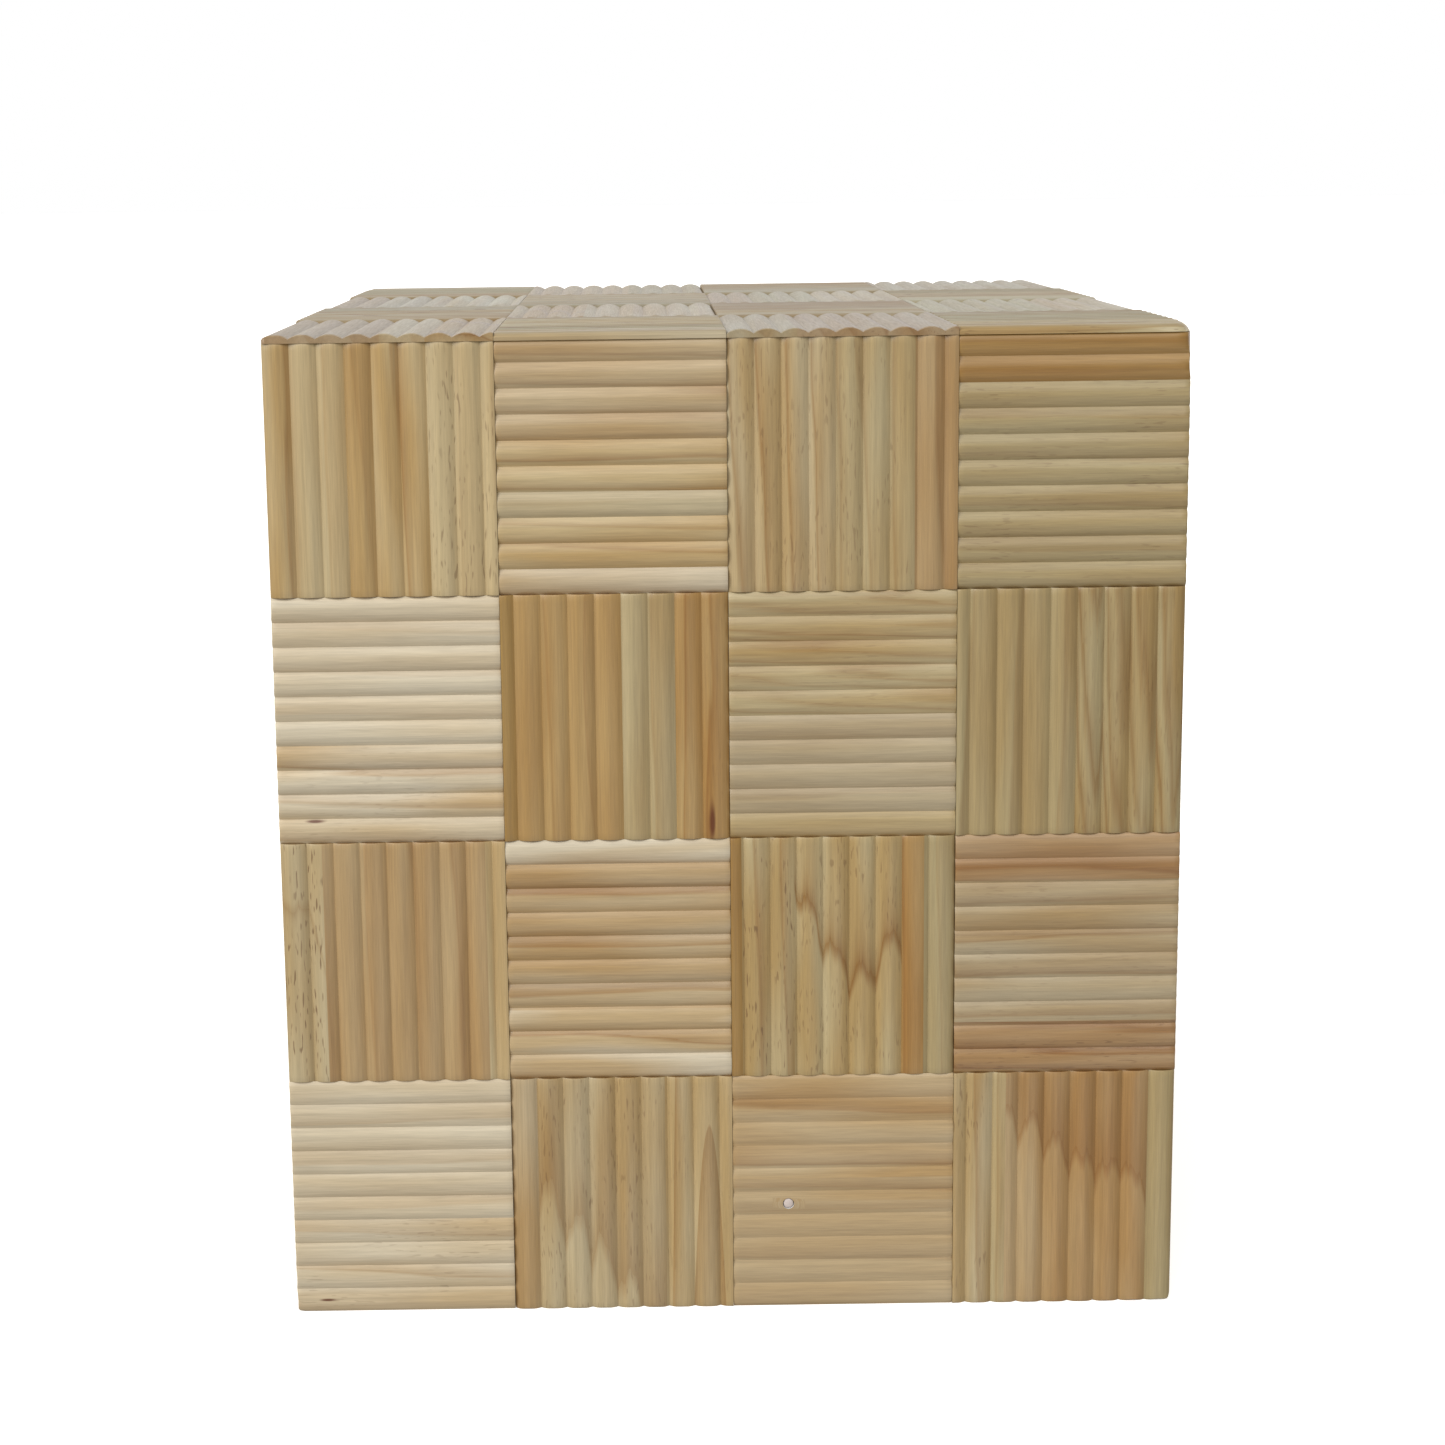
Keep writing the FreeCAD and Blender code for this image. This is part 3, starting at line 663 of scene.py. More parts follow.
    # Colour: golden bands, late wood, long streaks and fibres, then flecks in patches and the knot's heart
    warmth = add_node(tree, RANGE, (noises["warmth"], 0.32, 0.68, 0.0, 1.6))
    warmth = add_node(tree, MATH, (warmth, strength), operation="MULTIPLY")
    warm = add_node(
        tree, MIX, (warmth, tone, (*colours.warm_tint, 1.0)),
        data_type="RGBA", blend_type="MULTIPLY")
    dark = add_node(
        tree, MIX, (late, warm, (*colours.late_tint, 1.0)),
        data_type="RGBA", blend_type="MULTIPLY")
    streak = add_node(tree, RANGE, (noises["streak"], *SPREAD, 0.90, 1.07))
    fibre = add_node(tree, RANGE, (noises["fibre"], *SPREAD, 0.92, 1.07))
    shade = add_node(tree, MATH, (streak, fibre), operation="MULTIPLY")
    streaked = add_node(tree, VECTOR, {"Vector": dark, "Scale": shade}, operation="SCALE")
    dash = add_node(tree, RANGE, (noises["fleck"], 0.66, 0.74, 0.0, 0.75))
    patch = add_node(tree, RANGE, (noises["patch"], 0.42, 0.58, 0.0, 1.0))
    dash = add_node(tree, MATH, (dash, patch), operation="MULTIPLY")
    dash = add_node(tree, MATH, (dash, flecks), operation="MULTIPLY")
    flecked = add_node(tree, MIX, (dash, streaked, (*colours.fleck, 1.0)), data_type="RGBA")
    knotted = add_node(tree, MIX, (knot_heart, flecked, (*colours.knot, 1.0)), data_type="RGBA")

    # Sanded surface: fibres stand up a little, and the hard late wood is smoother
    gloss = add_node(tree, RANGE, (noises["fibre"], *SPREAD, roughness + 0.06, roughness - 0.04))
    gloss = add_node(tree, MATH, (late, -0.08, gloss), operation="MULTIPLY_ADD")
    raised = add_node(tree, MATH, (late, 0.5, noises["fibre"]), operation="MULTIPLY_ADD")
    finish_material(tree, knotted, gloss, raised, 0.5, fibre_depth, {"IOR": WOOD_IOR})
    return material


def sanded_pine():
    """Reeded pine, moulded and sanded: a soft sheen along the crests, with fine fibres."""
    made = bpy.data.materials.get("Sanded pine")
    return made or pine("Sanded pine", roughness=0.36, fibre_depth=0.06 * MM)


def planed_pine():
    """Planed pine boards: duller than the tiles, with fibres that stand up less."""
    made = bpy.data.materials.get("Planed pine")
    return made or pine("Planed pine", roughness=0.46, fibre_depth=0.04 * MM)


def birch_plywood():
    """Sanded birch plywood: pale faces with faint long grain, and dark and pale plies on its edges."""
    material, tree = start_material("Birch plywood")
    grain = add_node(tree, ATTRIBUTE, attribute_name="grain").node.outputs["Vector"]
    depth = add_node(tree, SEPARATE, (grain,)).node.outputs["Z"]
    noises = grain_noises(tree, grain, (("streak", 1.6, 70, 3), ("cloud", 30, 90, 2)))

    # Every other ply is darker, as it shows its end grain
    ply_thickness = 1.3
    pair = add_node(tree, MATH, (depth, 1 / (2 * ply_thickness)), operation="MULTIPLY")
    pair = add_node(tree, MATH, (pair,), operation="FRACT")
    ply = add_node(tree, RANGE, (pair, 0.48, 0.52, 0.0, 1.0))
    last = add_node(tree, RANGE, (pair, 0.96, 1.0, 1.0, 0.0))
    ply = add_node(tree, MATH, (ply, last), operation="MULTIPLY")
    pale = add_node(tree, MIX, (noises["cloud"], solid("#DCC7A0"), solid("#CFB68C")), data_type="RGBA")
    plies = add_node(tree, MIX, (ply, pale, solid("#A98558")), data_type="RGBA")
    shade = add_node(tree, RANGE, (noises["streak"], *SPREAD, 0.92, 1.05))
    colour = add_node(tree, VECTOR, {"Vector": plies, "Scale": shade}, operation="SCALE")
    gloss = add_node(tree, RANGE, (noises["streak"], *SPREAD, 0.58, 0.48))
    finish_material(tree, colour, gloss, noises["streak"], 0.4, 0.05 * MM, {"IOR": WOOD_IOR})
    return material


def planed_beech():
    """Planed beech: even pinkish brown, with short dark ray flecks along the grain."""
    material, tree = start_material("Planed beech")
    grain = add_node(tree, ATTRIBUTE, attribute_name="grain").node.outputs["Vector"]
    noises = grain_noises(tree, grain, (("ray", 0.45, 2.6, 0), ("line", 1.5, 60, 2), ("cloud", 14, 60, 1)))
    base = add_node(tree, MIX, (noises["cloud"], solid("#C69A6E"), solid("#B3865B")), data_type="RGBA")
    ray = add_node(tree, RANGE, (noises["ray"], 0.60, 0.68, 0.0, 0.6))
    flecked = add_node(tree, MIX, (ray, base, solid("#7F5635")), data_type="RGBA")
    shade = add_node(tree, RANGE, (noises["line"], *SPREAD, 0.92, 1.05))
    colour = add_node(tree, VECTOR, {"Vector": flecked, "Scale": shade}, operation="SCALE")
    gloss = add_node(tree, RANGE, (noises["line"], *SPREAD, 0.5, 0.4))
    finish_material(tree, colour, gloss, noises["ray"], 0.4, 0.04 * MM, {"IOR": WOOD_IOR})
    return material


def turned_steel():
    """Turned steel: bright, with fine tool rings round the pin, drawn 0.2 mm apart so that they show."""
    ring_gap = 0.2 * MM
    ring_length = 25 * MM
    material, tree = start_material("Turned steel")
    place = add_node(tree, "ShaderNodeTexCoord").node.outputs["Object"]
    along = (1 / ring_length, 1 / ring_gap, 1 / ring_length)
    ring = add_node(tree, VECTOR, (place, along), operation="MULTIPLY")
    ring = add_node(tree, NOISE, {"Vector": ring, "Scale": 1.0, "Detail": 2.0})
    colour = add_node(tree, MIX, (ring, solid("#8E8E8C"), solid("#A6A6A4")), data_type="RGBA")
    gloss = add_node(tree, RANGE, (ring, *SPREAD, 0.24, 0.38))
    finish_material(tree, colour, gloss, ring, 0.5, 0.02 * MM, {"Metallic": 1.0})
    return material


def pale_hardwood():
    """Sanded pale hardwood plug: pale grey, a little pink, with tiny pores."""
    pore_size = 0.35 * MM
    material, tree = start_material("Sanded pale hardwood")
    place = add_node(tree, "ShaderNodeTexCoord").node.outputs["Object"]
    pore = add_node(tree, NOISE, {"Vector": place, "Scale": 1 / pore_size, "Detail": 2.0})
    colour = add_node(tree, MIX, (pore, solid("#CDC1BA"), solid("#BBABA1")), data_type="RGBA")
    gloss = add_node(tree, RANGE, (pore, *SPREAD, 0.36, 0.46))
    finish_material(tree, colour, gloss, pore, 0.3, 0.03 * MM, {"IOR": WOOD_IOR})
    return material


# Pieces

# Edges sharper than these angles, in degrees, stay sharp
RIB_SHARP = 32
BOARD_SHARP = 35
PIN_SHARP = 40

# Points closer than these are one, on a whole piece and at a saw cut
WELD = 0.002 * MM
SAW_WELD = 0.001 * MM


def set_piece(piece, node):
    """Put a finished piece in its node's place, on its node's body."""
    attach(piece, frame["nodes"][node]["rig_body"])
    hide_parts(node)


def new_object(name, mesh):
    """An object in the scene, at the origin."""
    piece = bpy.data.objects.new(name, mesh)
    bpy.context.scene.collection.objects.link(piece)
    return piece


def plain_mesh(piece):
    """Turn a piece with modifiers into a plain mesh."""
    seen = piece.evaluated_get(bpy.context.evaluated_depsgraph_get())
    mesh = bpy.data.meshes.new_from_object(seen)
    piece.modifiers.clear()
    piece.data = mesh


def smooth(mesh, angle):
    """Shade a mesh smooth, apart from edges sharper than an angle in degrees."""
    mesh.shade_smooth()
    mesh.set_sharp_from_angle(angle=math.radians(angle))


# Radius that each outer corner of the box is sanded to, by its sides in X, Y and Z
CORNER_SANDING = {
    (1, -1, 1): 4.5 * MM, (-1, -1, 1): 1.6 * MM, (1, 1, 1): 2.6 * MM, (-1, 1, 1): 2.6 * MM,
    (1, -1, -1): 1.9 * MM, (-1, -1, -1): 1.7 * MM, (1, 1, -1): 1.7 * MM, (-1, 1, -1): 1.7 * MM,
}
EDGE_SANDING = 0.8 * MM
SANDING_REACH = 30 * MM
NEAR_ZERO = 1e-9


def sand_corners(mesh):
    """Round the box's outer edges and corners, with no point of the piece pulled below its foot."""
    points = np.zeros(len(mesh.vertices) * 3, np.float32)
    mesh.vertices.foreach_get("co", points)
    points = points.reshape(-1, 3)
    foot = points[:, 2].min()
    middle = np.array((CAD_LOW + CAD_HIGH) / 2)
    half = np.array((CAD_HIGH - CAD_LOW) / 2)
    radius = np.full(len(points), EDGE_SANDING)
    for sides, most in CORNER_SANDING.items():
        away = np.linalg.norm(points - (middle + half * np.array(sides)), axis=1)
        near = np.clip(1 - away / SANDING_REACH, 0, 1) ** 2
        radius = np.maximum(radius, EDGE_SANDING + (most - EDGE_SANDING) * near)
    local = points - middle
    straight = half - radius[:, None]
    past = np.maximum(np.abs(local) - straight, 0)
    length = np.linalg.norm(past, axis=1)
    sanded = ((past > 0).sum(axis=1) > 1) & (length > radius)
    kept = np.minimum(np.abs(local), straight)
    pulled = kept + past * (radius / np.maximum(length, NEAR_ZERO))[:, None]
    local[sanded] = (np.sign(local) * pulled)[sanded]
    local[:, 2] = np.maximum(local[:, 2], foot - middle[2])
    mesh.vertices.foreach_set("co", (local + middle).astype(np.float32).ravel())


Wall = namedtuple("Wall", "right up out upright_first")
Tile = namedtuple("Tile", "corner across along out width length ribs first")
WALLS = {
    "front": Wall((1, 0, 0), (0, 0, 1), (0, -1, 0), True),
    "back": Wall((-1, 0, 0), (0, 0, 1), (0, 1, 0), True),
    "left": Wall((0, 1, 0), (0, 0, 1), (-1, 0, 0), False),
    "right": Wall((0, 1, 0), (0, 0, 1), (1, 0, 0), True),
    "top": Wall((1, 0, 0), (0, 1, 0), (0, 0, 1), True),
}
COLUMNS = 4
ROWS = 4

# Upright front tiles, by row and column, that start with half a rib
FRONT_HALF_RIBS = {(1, 1), (1, 3), (2, 2), (3, 3)}

# Front tiles with shallower ribs, and their share of the rib height
FRONT_RELIEF = {(1, 2): 0.78, (2, 1): 0.86, (2, 3): 0.7, (3, 0): 0.7, (3, 2): 0.5}

# Tints of the cut ends, of the lid's cut ends, and of the sanded strip beside an end
END_GRAIN = (0.76, 0.67, 0.56)
LID_END_GRAIN = (1.0, 1.0, 0.96)
SANDED_END = (0.90, 0.85, 0.80)

# Painted light on the lid: painted shade on its top, darker and greyer as a painted grey sheen, and a paler,
# bluer painted highlight on its front rim, with the width of that rim
LID_PAINTED_SHADE_AND_SHEEN = np.array((0.76, 0.845, 0.97))
LID_RIM_PAINTED_HIGHLIGHT = np.array((0.97, 1.06, 1.2))
LID_RIM = 4 * MM

# How far the first rows reach up to the lid, in shares of the butting
UNDER_LID = 1.5

# Least and most width of a stave, in ribs on a tile and in millimetres on a board
TILE_STAVES = (1.5, 5.0)
BOARD_STAVES = (38.0, 70.0)

# Width of the sanded strip, and the extent along the grain that tells a cut end, in millimetres
SANDED_STRIP = 0.25
CUT_END = 0.001


def row_tiles(face, row):
    """The tiles of one row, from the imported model's box of that row."""
    settings = bpy.context.scene.puzzle_tiles
    wall = WALLS[face]
    right, up, out = (Vector(way) for way in (wall.right, wall.up, wall.out))
    low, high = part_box(f"{face}_tiles_row_{row + 1}")
    reach = Vector([abs(part) for part in up]) * settings.butting
    rising = face != "top"

    # Rows reach towards the next row, and first rows towards the lid, unless they ride on it
    if rising:
        if row > 0:
            high = high + reach
        elif face != "back":
            high = high + reach * UNDER_LID
        low = low - reach if row < ROWS - 1 else low
    else:
        low = low - reach if row > 0 else low
        high = high + reach if row < ROWS - 1 else high
    ways = right + up + out
    start = Vector([low[i] if ways[i] > 0 else high[i] for i in range(3)])
    row_length = abs((high - low).dot(right))
    width = (row_length - (COLUMNS - 1) * settings.seam) / COLUMNS
    height = abs((high - low).dot(up))
    tiles = []
    for column in range(COLUMNS):
        corner = start + right * column * (width + settings.seam)
        if ((row + column) % 2 == 0) == wall.upright_first:
            ribs = settings.side_ribs if face in ("left", "right") else settings.upright_ribs
            half = (row, column) in FRONT_HALF_RIBS if face == "front" else row % 2 == 1
            tiles.append(Tile(corner, right, up, out, width, height, ribs, 0.5 if half else 0.0))
        else:
            ribs = settings.level_ribs - (settings.lid_cut if rising and row == 0 else 0.0)
            tiles.append(Tile(corner, up, right, out, height, width, ribs, 0.0))
    return tiles


def reeded_row(face, row):
    """One row of reeded tiles, in its wood."""
    settings = bpy.context.scene.puzzle_tiles
    node = f"{face}_tiles_row_{row + 1}"
    tree = bpy.data.node_groups.get("Reeded tile") or reeded_tile_tree()
    socket = {item.name: item.identifier for item in tree.interface.items_tree if item.in_out == "INPUT"}
    tiles = row_tiles(face, row)
    name = f"reeded_{face}_row_{row + 1}"
    piece = new_object(name, bpy.data.meshes.new(name))
    for number, tile in enumerate(tiles):
        pitch = tile.width / tile.ribs
        relief = settings.rib_height
        if face == "front":
            relief *= FRONT_RELIEF.get((row, number), 1.0)
        rib_radius = (pitch * pitch / 4 + relief ** 2) / (2 * relief)
        modifier = piece.modifiers.new(f"Tile {number + 1}", "NODES")
        modifier.node_group = tree
        for key, value in (
                ("Corner", tile.corner), ("Across", tile.across), ("Along", tile.along), ("Out", tile.out),
                ("Width", tile.width), ("Length", tile.length), ("Ribs", float(tile.ribs)),
                ("First rib", tile.first), ("Rib radius", rib_radius), ("Thickness", settings.thickness),
                ("Sanding", settings.sanding), ("Rib steps", settings.rib_steps),
                ("Length steps", settings.length_steps), ("Tile", number), ("Wood", sanded_pine())):
            modifier[socket[key]] = value
    plain_mesh(piece)
    turn_outwards(piece.data)
    paint_row(piece.data, face, row, tiles)
    sand_corners(piece.data)
    smooth(piece.data, RIB_SHARP)
    if node == PIN_ROW:
        drill_pin_hole(piece)
    set_piece(piece, node)


def turn_outwards(mesh):
    """Point the faces of closed shells outwards."""
    shells = bmesh.new()
    shells.from_mesh(mesh)
    bmesh.ops.recalc_face_normals(shells, faces=shells.faces)
    shells.to_mesh(mesh)
    shells.free()


def paint_row(mesh, face, row, tiles):
    """Give each tile of a row its staves."""
    chance = random.Random(f"{face} {row}")
    paint = WoodPaint(mesh, chance)
    middle, extent = face_grain(mesh)
    tile_of = np.zeros(len(mesh.polygons), np.int32)
    mesh.attributes["tile"].data.foreach_get("value", tile_of)
    for number, tile in enumerate(tiles):
        if face == "front":
            staves = FRONT_STAVES[row, number]
        else:
            # On the top, darker tones are picked more often as painted shade
            shares = SHADED_TOP_SHARES if face == "top" else TONE_SHARES
            staves = chance_staves(chance, tile.ribs, tile.length / MM, *TILE_STAVES, shares)
        edges = np.cumsum([stave.width for stave in staves]) * tile.width / tile.ribs / MM
        which = np.searchsorted(edges[:-1], middle[:, 0])
        own = tile_of == number
        for place, stave in enumerate(staves):
            paint.stave(own & (which == place), stave)
        half = tile.length / MM / 2
        paint.tone[own & (np.abs(middle[:, 1] - half) > half - SANDED_STRIP), :3] *= SANDED_END
    paint.tone[extent[:, 1] < CUT_END, :3] *= LID_END_GRAIN if face == "top" else END_GRAIN
    # Painted shade with a grey painted sheen on the lid's top, and a paler painted highlight along its front
    # rim
    if face == "top":
        centres = np.zeros(len(mesh.polygons) * 3, np.float32)
        mesh.polygons.foreach_get("center", centres)
        behind = np.clip((centres[1::3] - CAD_LOW.y) / LID_RIM, 0, 1)[:, None]
        paint.tone[:, :3] *= behind * LID_PAINTED_SHADE_AND_SHEEN + (1 - behind) * LID_RIM_PAINTED_HIGHLIGHT
    paint.store()


def drill_pin_hole(piece):
    """Drill the hole that the locking pin slides in."""
    clearance = 0.25 * MM
    depth = 20 * MM
    low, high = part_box("pin_tip")
    radius = (high.x - low.x) / 2 + clearance
    drill = bmesh.new()
    bmesh.ops.create_cone(
        drill, cap_ends=True, segments=48, radius1=radius, radius2=radius, depth=depth,
        matrix=Matrix.Translation(((low.x + high.x) / 2, low.y, (low.z + high.z) / 2))
        @ Matrix.Rotation(math.pi / 2, 4, "X"))
    mesh = bpy.data.meshes.new("drill")
    drill.to_mesh(mesh)
    drill.free()
    bit = new_object("drill", mesh)
    cut = piece.modifiers.new("Pin hole", "BOOLEAN")
    cut.object = bit
    cut.operation = "DIFFERENCE"
    cut.solver = "MANIFOLD"
    plain_mesh(piece)
    bpy.data.objects.remove(bit)

    # The hole's new faces have no tone yet
    tone = np.zeros(len(piece.data.polygons) * 4, np.float32)
    layer = piece.data.attributes["tone"]
    layer.data.foreach_get("color", tone)
    tone = tone.reshape(-1, 4)
    bare = tone[:, :3].sum(axis=1) == 0
    tone[bare, :3] = bpy.context.scene.puzzle_woods.clay
    layer.data.foreach_set("color", tone.ravel())


# Faces closer in angle than the first are one, and edges past the second and third get eased
FLAT_ANGLE = math.radians(0.5)
EASED_ANGLE = math.radians(30)
SHORT_EDGE = 3 * MM

# Round on the edges of the pieces
PINE_EASING = 0.5 * MM
BEECH_EASING = 0.4 * MM
PLYWOOD_EASING = 0.3 * MM
PIN_EASING = 0.15 * MM


def eased_copy(node, name, easing):
    """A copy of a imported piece's mesh, merged and with its edges eased."""
    board = bmesh.new()
    board.from_mesh(frame["nodes"][node].data)
    bmesh.ops.remove_doubles(board, verts=board.verts, dist=WELD)
    bmesh.ops.dissolve_limit(board, angle_limit=FLAT_ANGLE, verts=board.verts, edges=board.edges)
    bmesh.ops.recalc_face_normals(board, faces=board.faces)
    edges = [
        edge for edge in board.edges
        if edge.is_manifold and edge.calc_length() > SHORT_EDGE and edge.calc_face_angle() > EASED_ANGLE]
    bmesh.ops.bevel(
        board, geom=edges, offset=easing, segments=2, profile=0.5, affect="EDGES", clamp_overlap=True)
    mesh = bpy.data.meshes.new(name)
    board.to_mesh(mesh)
    board.free()
    return mesh


def lay_grain(mesh, node):
    """Keep each point's place in the wood, across, along and through the piece, in millimetres.

    The grain runs along the longest side. Gives the axis across it, and the sizes across and along.
    """
    low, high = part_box(node)
    sizes = high - low
    through, across, along = sorted(range(3), key=lambda axis: sizes[axis])
    points = np.zeros(len(mesh.vertices) * 3, np.float32)
    mesh.vertices.foreach_get("co", points)
    points = (points.reshape(-1, 3) - np.array(low)) / MM
    layer = mesh.attributes.new("grain", "FLOAT_VECTOR", "POINT")
    layer.data.foreach_set("vector", points[:, (across, along, through)].astype(np.float32).ravel())
    return across, sizes[across] / MM, sizes[along] / MM


def saw_staves(mesh, axis, start, widths):
    """Split a board's faces where its glued staves meet."""
    board = bmesh.new()
    board.from_mesh(mesh)
    normal = Vector([1.0 if i == axis else 0.0 for i in range(3)])
    for edge in np.cumsum(widths)[:-1]:
        geometry = list(board.verts) + list(board.edges) + list(board.faces)
        bmesh.ops.bisect_plane(
            board, geom=geometry, dist=SAW_WELD, plane_co=start + normal * float(edge) * MM, plane_no=normal)
    board.to_mesh(mesh)
    board.free()


def pine_board(node):
    """A planed board of glued pine staves."""
    name = f"planed_{node}"
    mesh = eased_copy(node, name, PINE_EASING)
    across, width, length = lay_grain(mesh, node)
    chance = random.Random(node)
    staves = chance_staves(chance, width, length, *BOARD_STAVES)
    saw_staves(mesh, across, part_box(node)[0], [stave.width for stave in staves])
    paint = WoodPaint(mesh, chance)
    middle, extent = face_grain(mesh)
    which = np.searchsorted(np.cumsum([stave.width for stave in staves])[:-1], middle[:, 0])
    for place, stave in enumerate(staves):
        paint.stave(which == place, stave)
    paint.tone[extent[:, 1] < CUT_END, :3] *= END_GRAIN
    paint.store()
    smooth(mesh, BOARD_SHARP)
    mesh.materials.clear()
    mesh.materials.append(planed_pine())
    set_piece(new_object(name, mesh), node)


def eased_piece(node, name, easing, material):
    """A piece with eased edges, in one material."""
    mesh = eased_copy(node, name, easing)
    lay_grain(mesh, node)
    smooth(mesh, BOARD_SHARP)
    mesh.materials.clear()
    mesh.materials.append(material)
    set_piece(new_object(name, mesh), node)


def domed_pin_end():
    """The pale plug on the front end of the locking pin, turned with a low dome."""
    dome = 0.45 * MM
    dome_steps = 8
    turning_steps = 40
    low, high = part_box("pin_tip")
    middle = (low + high) / 2
    radius = (high.x - low.x) / 2
    profile = [(0.0, low.y)]
    for step in range(1, dome_steps + 1):
        angle = step / dome_steps * math.pi / 2
        profile.append((radius * math.sin(angle), low.y + dome * (1 - math.cos(angle))))
    profile += [(radius, high.y), (0.0, high.y)]
    turned = bmesh.new()
    points = [turned.verts.new((middle.x + out, back, middle.z)) for out, back in profile]
    edges = [turned.edges.new(pair) for pair in zip(points, points[1:])]
    bmesh.ops.spin(
        turned, geom=points + edges, cent=middle, axis=(0, 1, 0), angle=2 * math.pi, steps=turning_steps)
    bmesh.ops.remove_doubles(turned, verts=turned.verts, dist=WELD)
    bmesh.ops.recalc_face_normals(turned, faces=turned.faces)
    mesh = bpy.data.meshes.new("pale_pin_tip")
    turned.to_mesh(mesh)
    turned.free()
    smooth(mesh, PIN_SHARP)
    mesh.materials.append(pale_hardwood())
    set_piece(new_object("pale_pin_tip", mesh), "pin_tip")


# Stage

# Half the side of the floor and its drop below the box, in metres
FLOOR_SIZE = 30.0
FLOOR_DROP = 0.05 * MM
LAMPS = ("key", "top", "back", "fill", "far")

# Width of the camera's sensor in millimetres, and how far it sees in metres
SENSOR_WIDTH = 36.0
VIEW_REACH = 200.0


def lay_floor(settings):
    """A wide pale floor that glows a little, just under the box."""
    sheet = bmesh.new()
    bmesh.ops.create_grid(sheet, x_segments=1, y_segments=1, size=FLOOR_SIZE)
    mesh = bpy.data.meshes.new("floor")
    sheet.to_mesh(mesh)
    sheet.free()
    material, tree = start_material("Pale floor")
    shader = add_node(tree, "ShaderNodeBsdfPrincipled", {
        "Base Color": (*settings.floor, 1.0), "Roughness": 0.9, "Specular IOR Level": 0.1,
        "Emission Color": (*settings.floor, 1.0), "Emission Strength": settings.glow})
    add_node(tree, "ShaderNodeOutputMaterial", {"Surface": shader})
    mesh.materials.append(material)
    floor = new_object("floor", mesh)
    floor.location.z = CAD_LOW.z - FLOOR_DROP
    floor.visible_diffuse = False
    floor.visible_glossy = False
    floor.visible_shadow = False
    floor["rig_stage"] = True


def light_studio(settings):
    """A white backdrop that lights the box weakly, and soft lamps from five sides."""
    world = bpy.data.worlds.new("Studio")
    world.use_nodes = True
    tree = world.node_tree
    tree.nodes.clear()
    seen = add_node(tree, "ShaderNodeLightPath").node.outputs["Is Camera Ray"]
    strength = add_node(tree, RANGE, (seen, 0.0, 1.0, settings.sky, 1.0))
    light = add_node(tree, "ShaderNodeBackground", ((1.0, 1.0, 1.0, 1.0), strength))
    add_node(tree, "ShaderNodeOutputWorld", {"Surface": light})
    bpy.context.scene.world = world
    for name in LAMPS:
        light = bpy.data.lights.new(name, "SUN")
        light.energy = getattr(settings, name)
        light.angle = settings.spread
        lamp = new_object(name, light)
        way = Vector(getattr(settings, f"{name}_from"))
        lamp.rotation_euler = way.to_track_quat("Z", "Y").to_euler()


def set_camera(settings):
    """The camera, a little above the front and to its left."""
    camera = bpy.data.cameras.new("camera")
    camera.lens = settings.lens
    camera.sensor_width = SENSOR_WIDTH
    camera.shift_x = settings.shift_right
    camera.shift_y = settings.shift_up
    camera.clip_end = VIEW_REACH
    view = new_object("camera", camera)
    view.matrix_world = (
        Matrix.Translation(settings.camera)
        @ Matrix.Rotation(-settings.yaw, 4, "Z")
        @ Matrix.Rotation(math.pi / 2 - settings.pitch, 4, "X")
        @ Matrix.Rotation(settings.roll, 4, "Z"))
    bpy.context.scene.camera = view


# Operators

class PUZZLEBOX_OT_front_tiles(bpy.types.Operator):
    """Make the reeded tiles of the front"""

    bl_idname = "puzzlebox.front_tiles"
    bl_label = "Front tiles"

    def execute(self, context):
        for row in range(ROWS):
            reeded_row("front", row)
        return {"FINISHED"}


class PUZZLEBOX_OT_side_tiles(bpy.types.Operator):
    """Make the reeded tiles of the left and right sides"""

    bl_idname = "puzzlebox.side_tiles"
    bl_label = "Side tiles"

    def execute(self, context):
        for row in range(ROWS):
            reeded_row("left", row)
            reeded_row("right", row)
        return {"FINISHED"}


class PUZZLEBOX_OT_back_tiles(bpy.types.Operator):
    """Make the reeded tiles of the back"""

    bl_idname = "puzzlebox.back_tiles"
    bl_label = "Back tiles"

    def execute(self, context):
        for row in range(ROWS):
            reeded_row("back", row)
        return {"FINISHED"}


class PUZZLEBOX_OT_lid_tiles(bpy.types.Operator):
    """Make the reeded tiles of the lid"""

    bl_idname = "puzzlebox.lid_tiles"
    bl_label = "Lid tiles"

    def execute(self, context):
        for row in range(ROWS):
            reeded_row("top", row)
        return {"FINISHED"}


class PUZZLEBOX_OT_pine_boards(bpy.types.Operator):
    """Make the planed pine boards of the carcass, lid and drawer"""

    bl_idname = "puzzlebox.pine_boards"
    bl_label = "Pine boards"

    def execute(self, context):
        for node in PINE_BOARDS:
            pine_board(node)
        return {"FINISHED"}


class PUZZLEBOX_OT_plywood_panels(bpy.types.Operator):
    """Make the plywood bottom, shelf and drawer bottom"""

    bl_idname = "puzzlebox.plywood_panels"
    bl_label = "Plywood panels"

    def execute(self, context):
        material = birch_plywood()
        for node in PLYWOOD_PANELS:
            eased_piece(node, f"plywood_{node}", PLYWOOD_EASING, material)
        return {"FINISHED"}


class PUZZLEBOX_OT_beech_pieces(bpy.types.Operator):
    """Make the beech bolt, guides, keepers and stop"""

    bl_idname = "puzzlebox.beech_pieces"
    bl_label = "Beech pieces"

    def execute(self, context):
        material = planed_beech()
        for node in BEECH_PIECES:
            eased_piece(node, f"beech_{node}", BEECH_EASING, material)
        return {"FINISHED"}


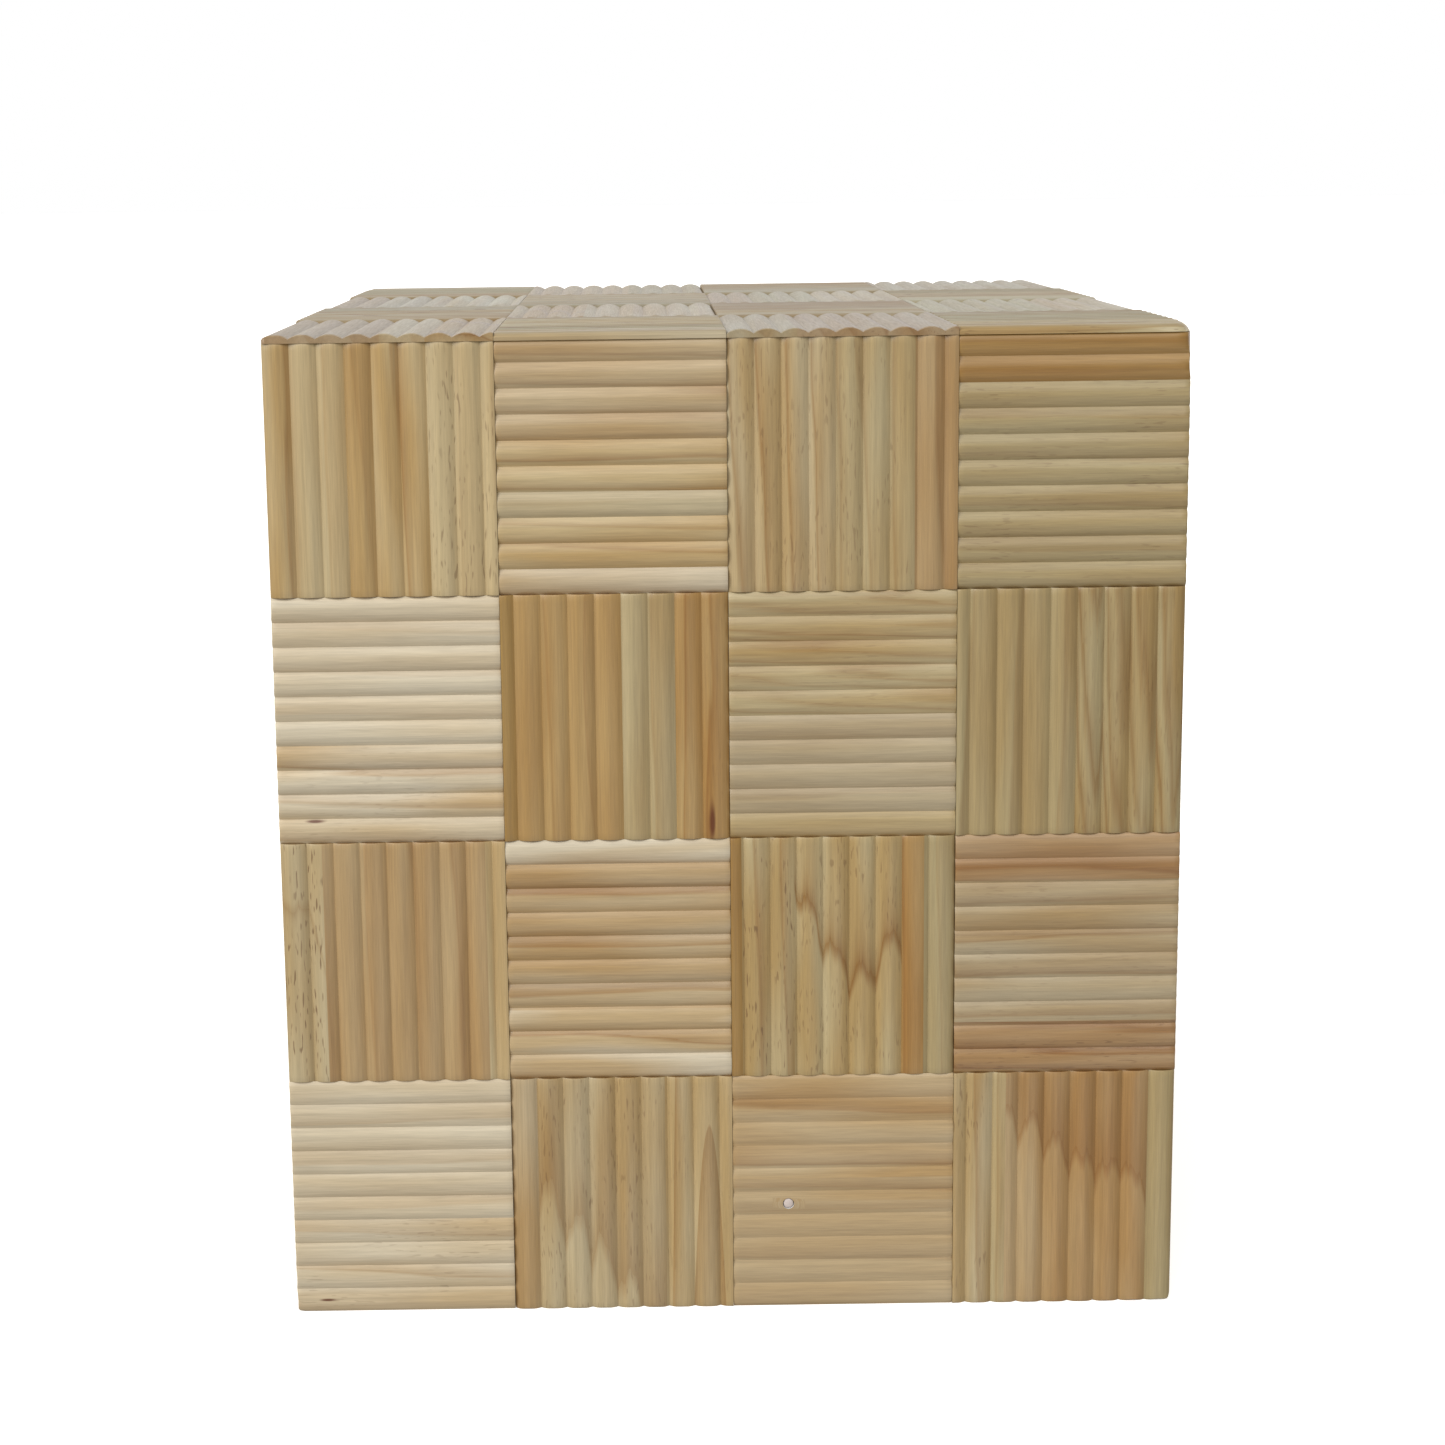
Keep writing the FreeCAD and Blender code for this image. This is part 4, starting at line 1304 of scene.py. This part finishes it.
class PUZZLEBOX_OT_locking_pin(bpy.types.Operator):
    """Make the steel locking pin and its pale domed end"""

    bl_idname = "puzzlebox.locking_pin"
    bl_label = "Locking pin"

    def execute(self, context):
        eased_piece("pin_rod", "steel_pin_rod", PIN_EASING, turned_steel())
        domed_pin_end()
        return {"FINISHED"}


class PUZZLEBOX_OT_stage(bpy.types.Operator):
    """Set the pale floor, the soft light and the camera"""

    bl_idname = "puzzlebox.stage"
    bl_label = "Stage"

    def execute(self, context):
        context.scene.view_settings.view_transform = "Standard"
        settings = context.scene.puzzle_stage
        lay_floor(settings)
        light_studio(settings)
        set_camera(settings)
        return {"FINISHED"}


OPERATORS = (
    PUZZLEBOX_OT_front_tiles, PUZZLEBOX_OT_side_tiles, PUZZLEBOX_OT_back_tiles, PUZZLEBOX_OT_lid_tiles,
    PUZZLEBOX_OT_pine_boards, PUZZLEBOX_OT_plywood_panels, PUZZLEBOX_OT_beech_pieces,
    PUZZLEBOX_OT_locking_pin, PUZZLEBOX_OT_stage,
)
SETTINGS = {
    "puzzle_tiles": ReededTileSettings,
    "puzzle_woods": WoodSettings,
    "puzzle_stage": StageSettings,
}


class PUZZLEBOX_PT_sidebar(bpy.types.Panel):
    """Settings and makers of the puzzle box"""

    bl_label = "Puzzle Box"
    bl_idname = "PUZZLEBOX_PT_sidebar"
    bl_space_type = "VIEW_3D"
    bl_region_type = "UI"
    bl_category = "Puzzle Box"

    def draw(self, context):
        for operator in OPERATORS:
            self.layout.operator(operator.bl_idname)
        for name, group in SETTINGS.items():
            part = self.layout.box()
            for setting in group.__annotations__:
                part.prop(getattr(context.scene, name), setting)


CLASSES = (*SETTINGS.values(), *OPERATORS, PUZZLEBOX_PT_sidebar)


def register():
    for cls in CLASSES:
        bpy.utils.register_class(cls)
    for name, group in SETTINGS.items():
        setattr(bpy.types.Scene, name, PointerProperty(type=group))


def unregister():
    for name in SETTINGS:
        delattr(bpy.types.Scene, name)
    for cls in reversed(CLASSES):
        bpy.utils.unregister_class(cls)


def main():
    """Make every piece and the stage."""
    register()
    for operator in OPERATORS:
        group, name = operator.bl_idname.split(".")
        getattr(getattr(bpy.ops, group), name)()


if __name__ == "__main__":
    main()
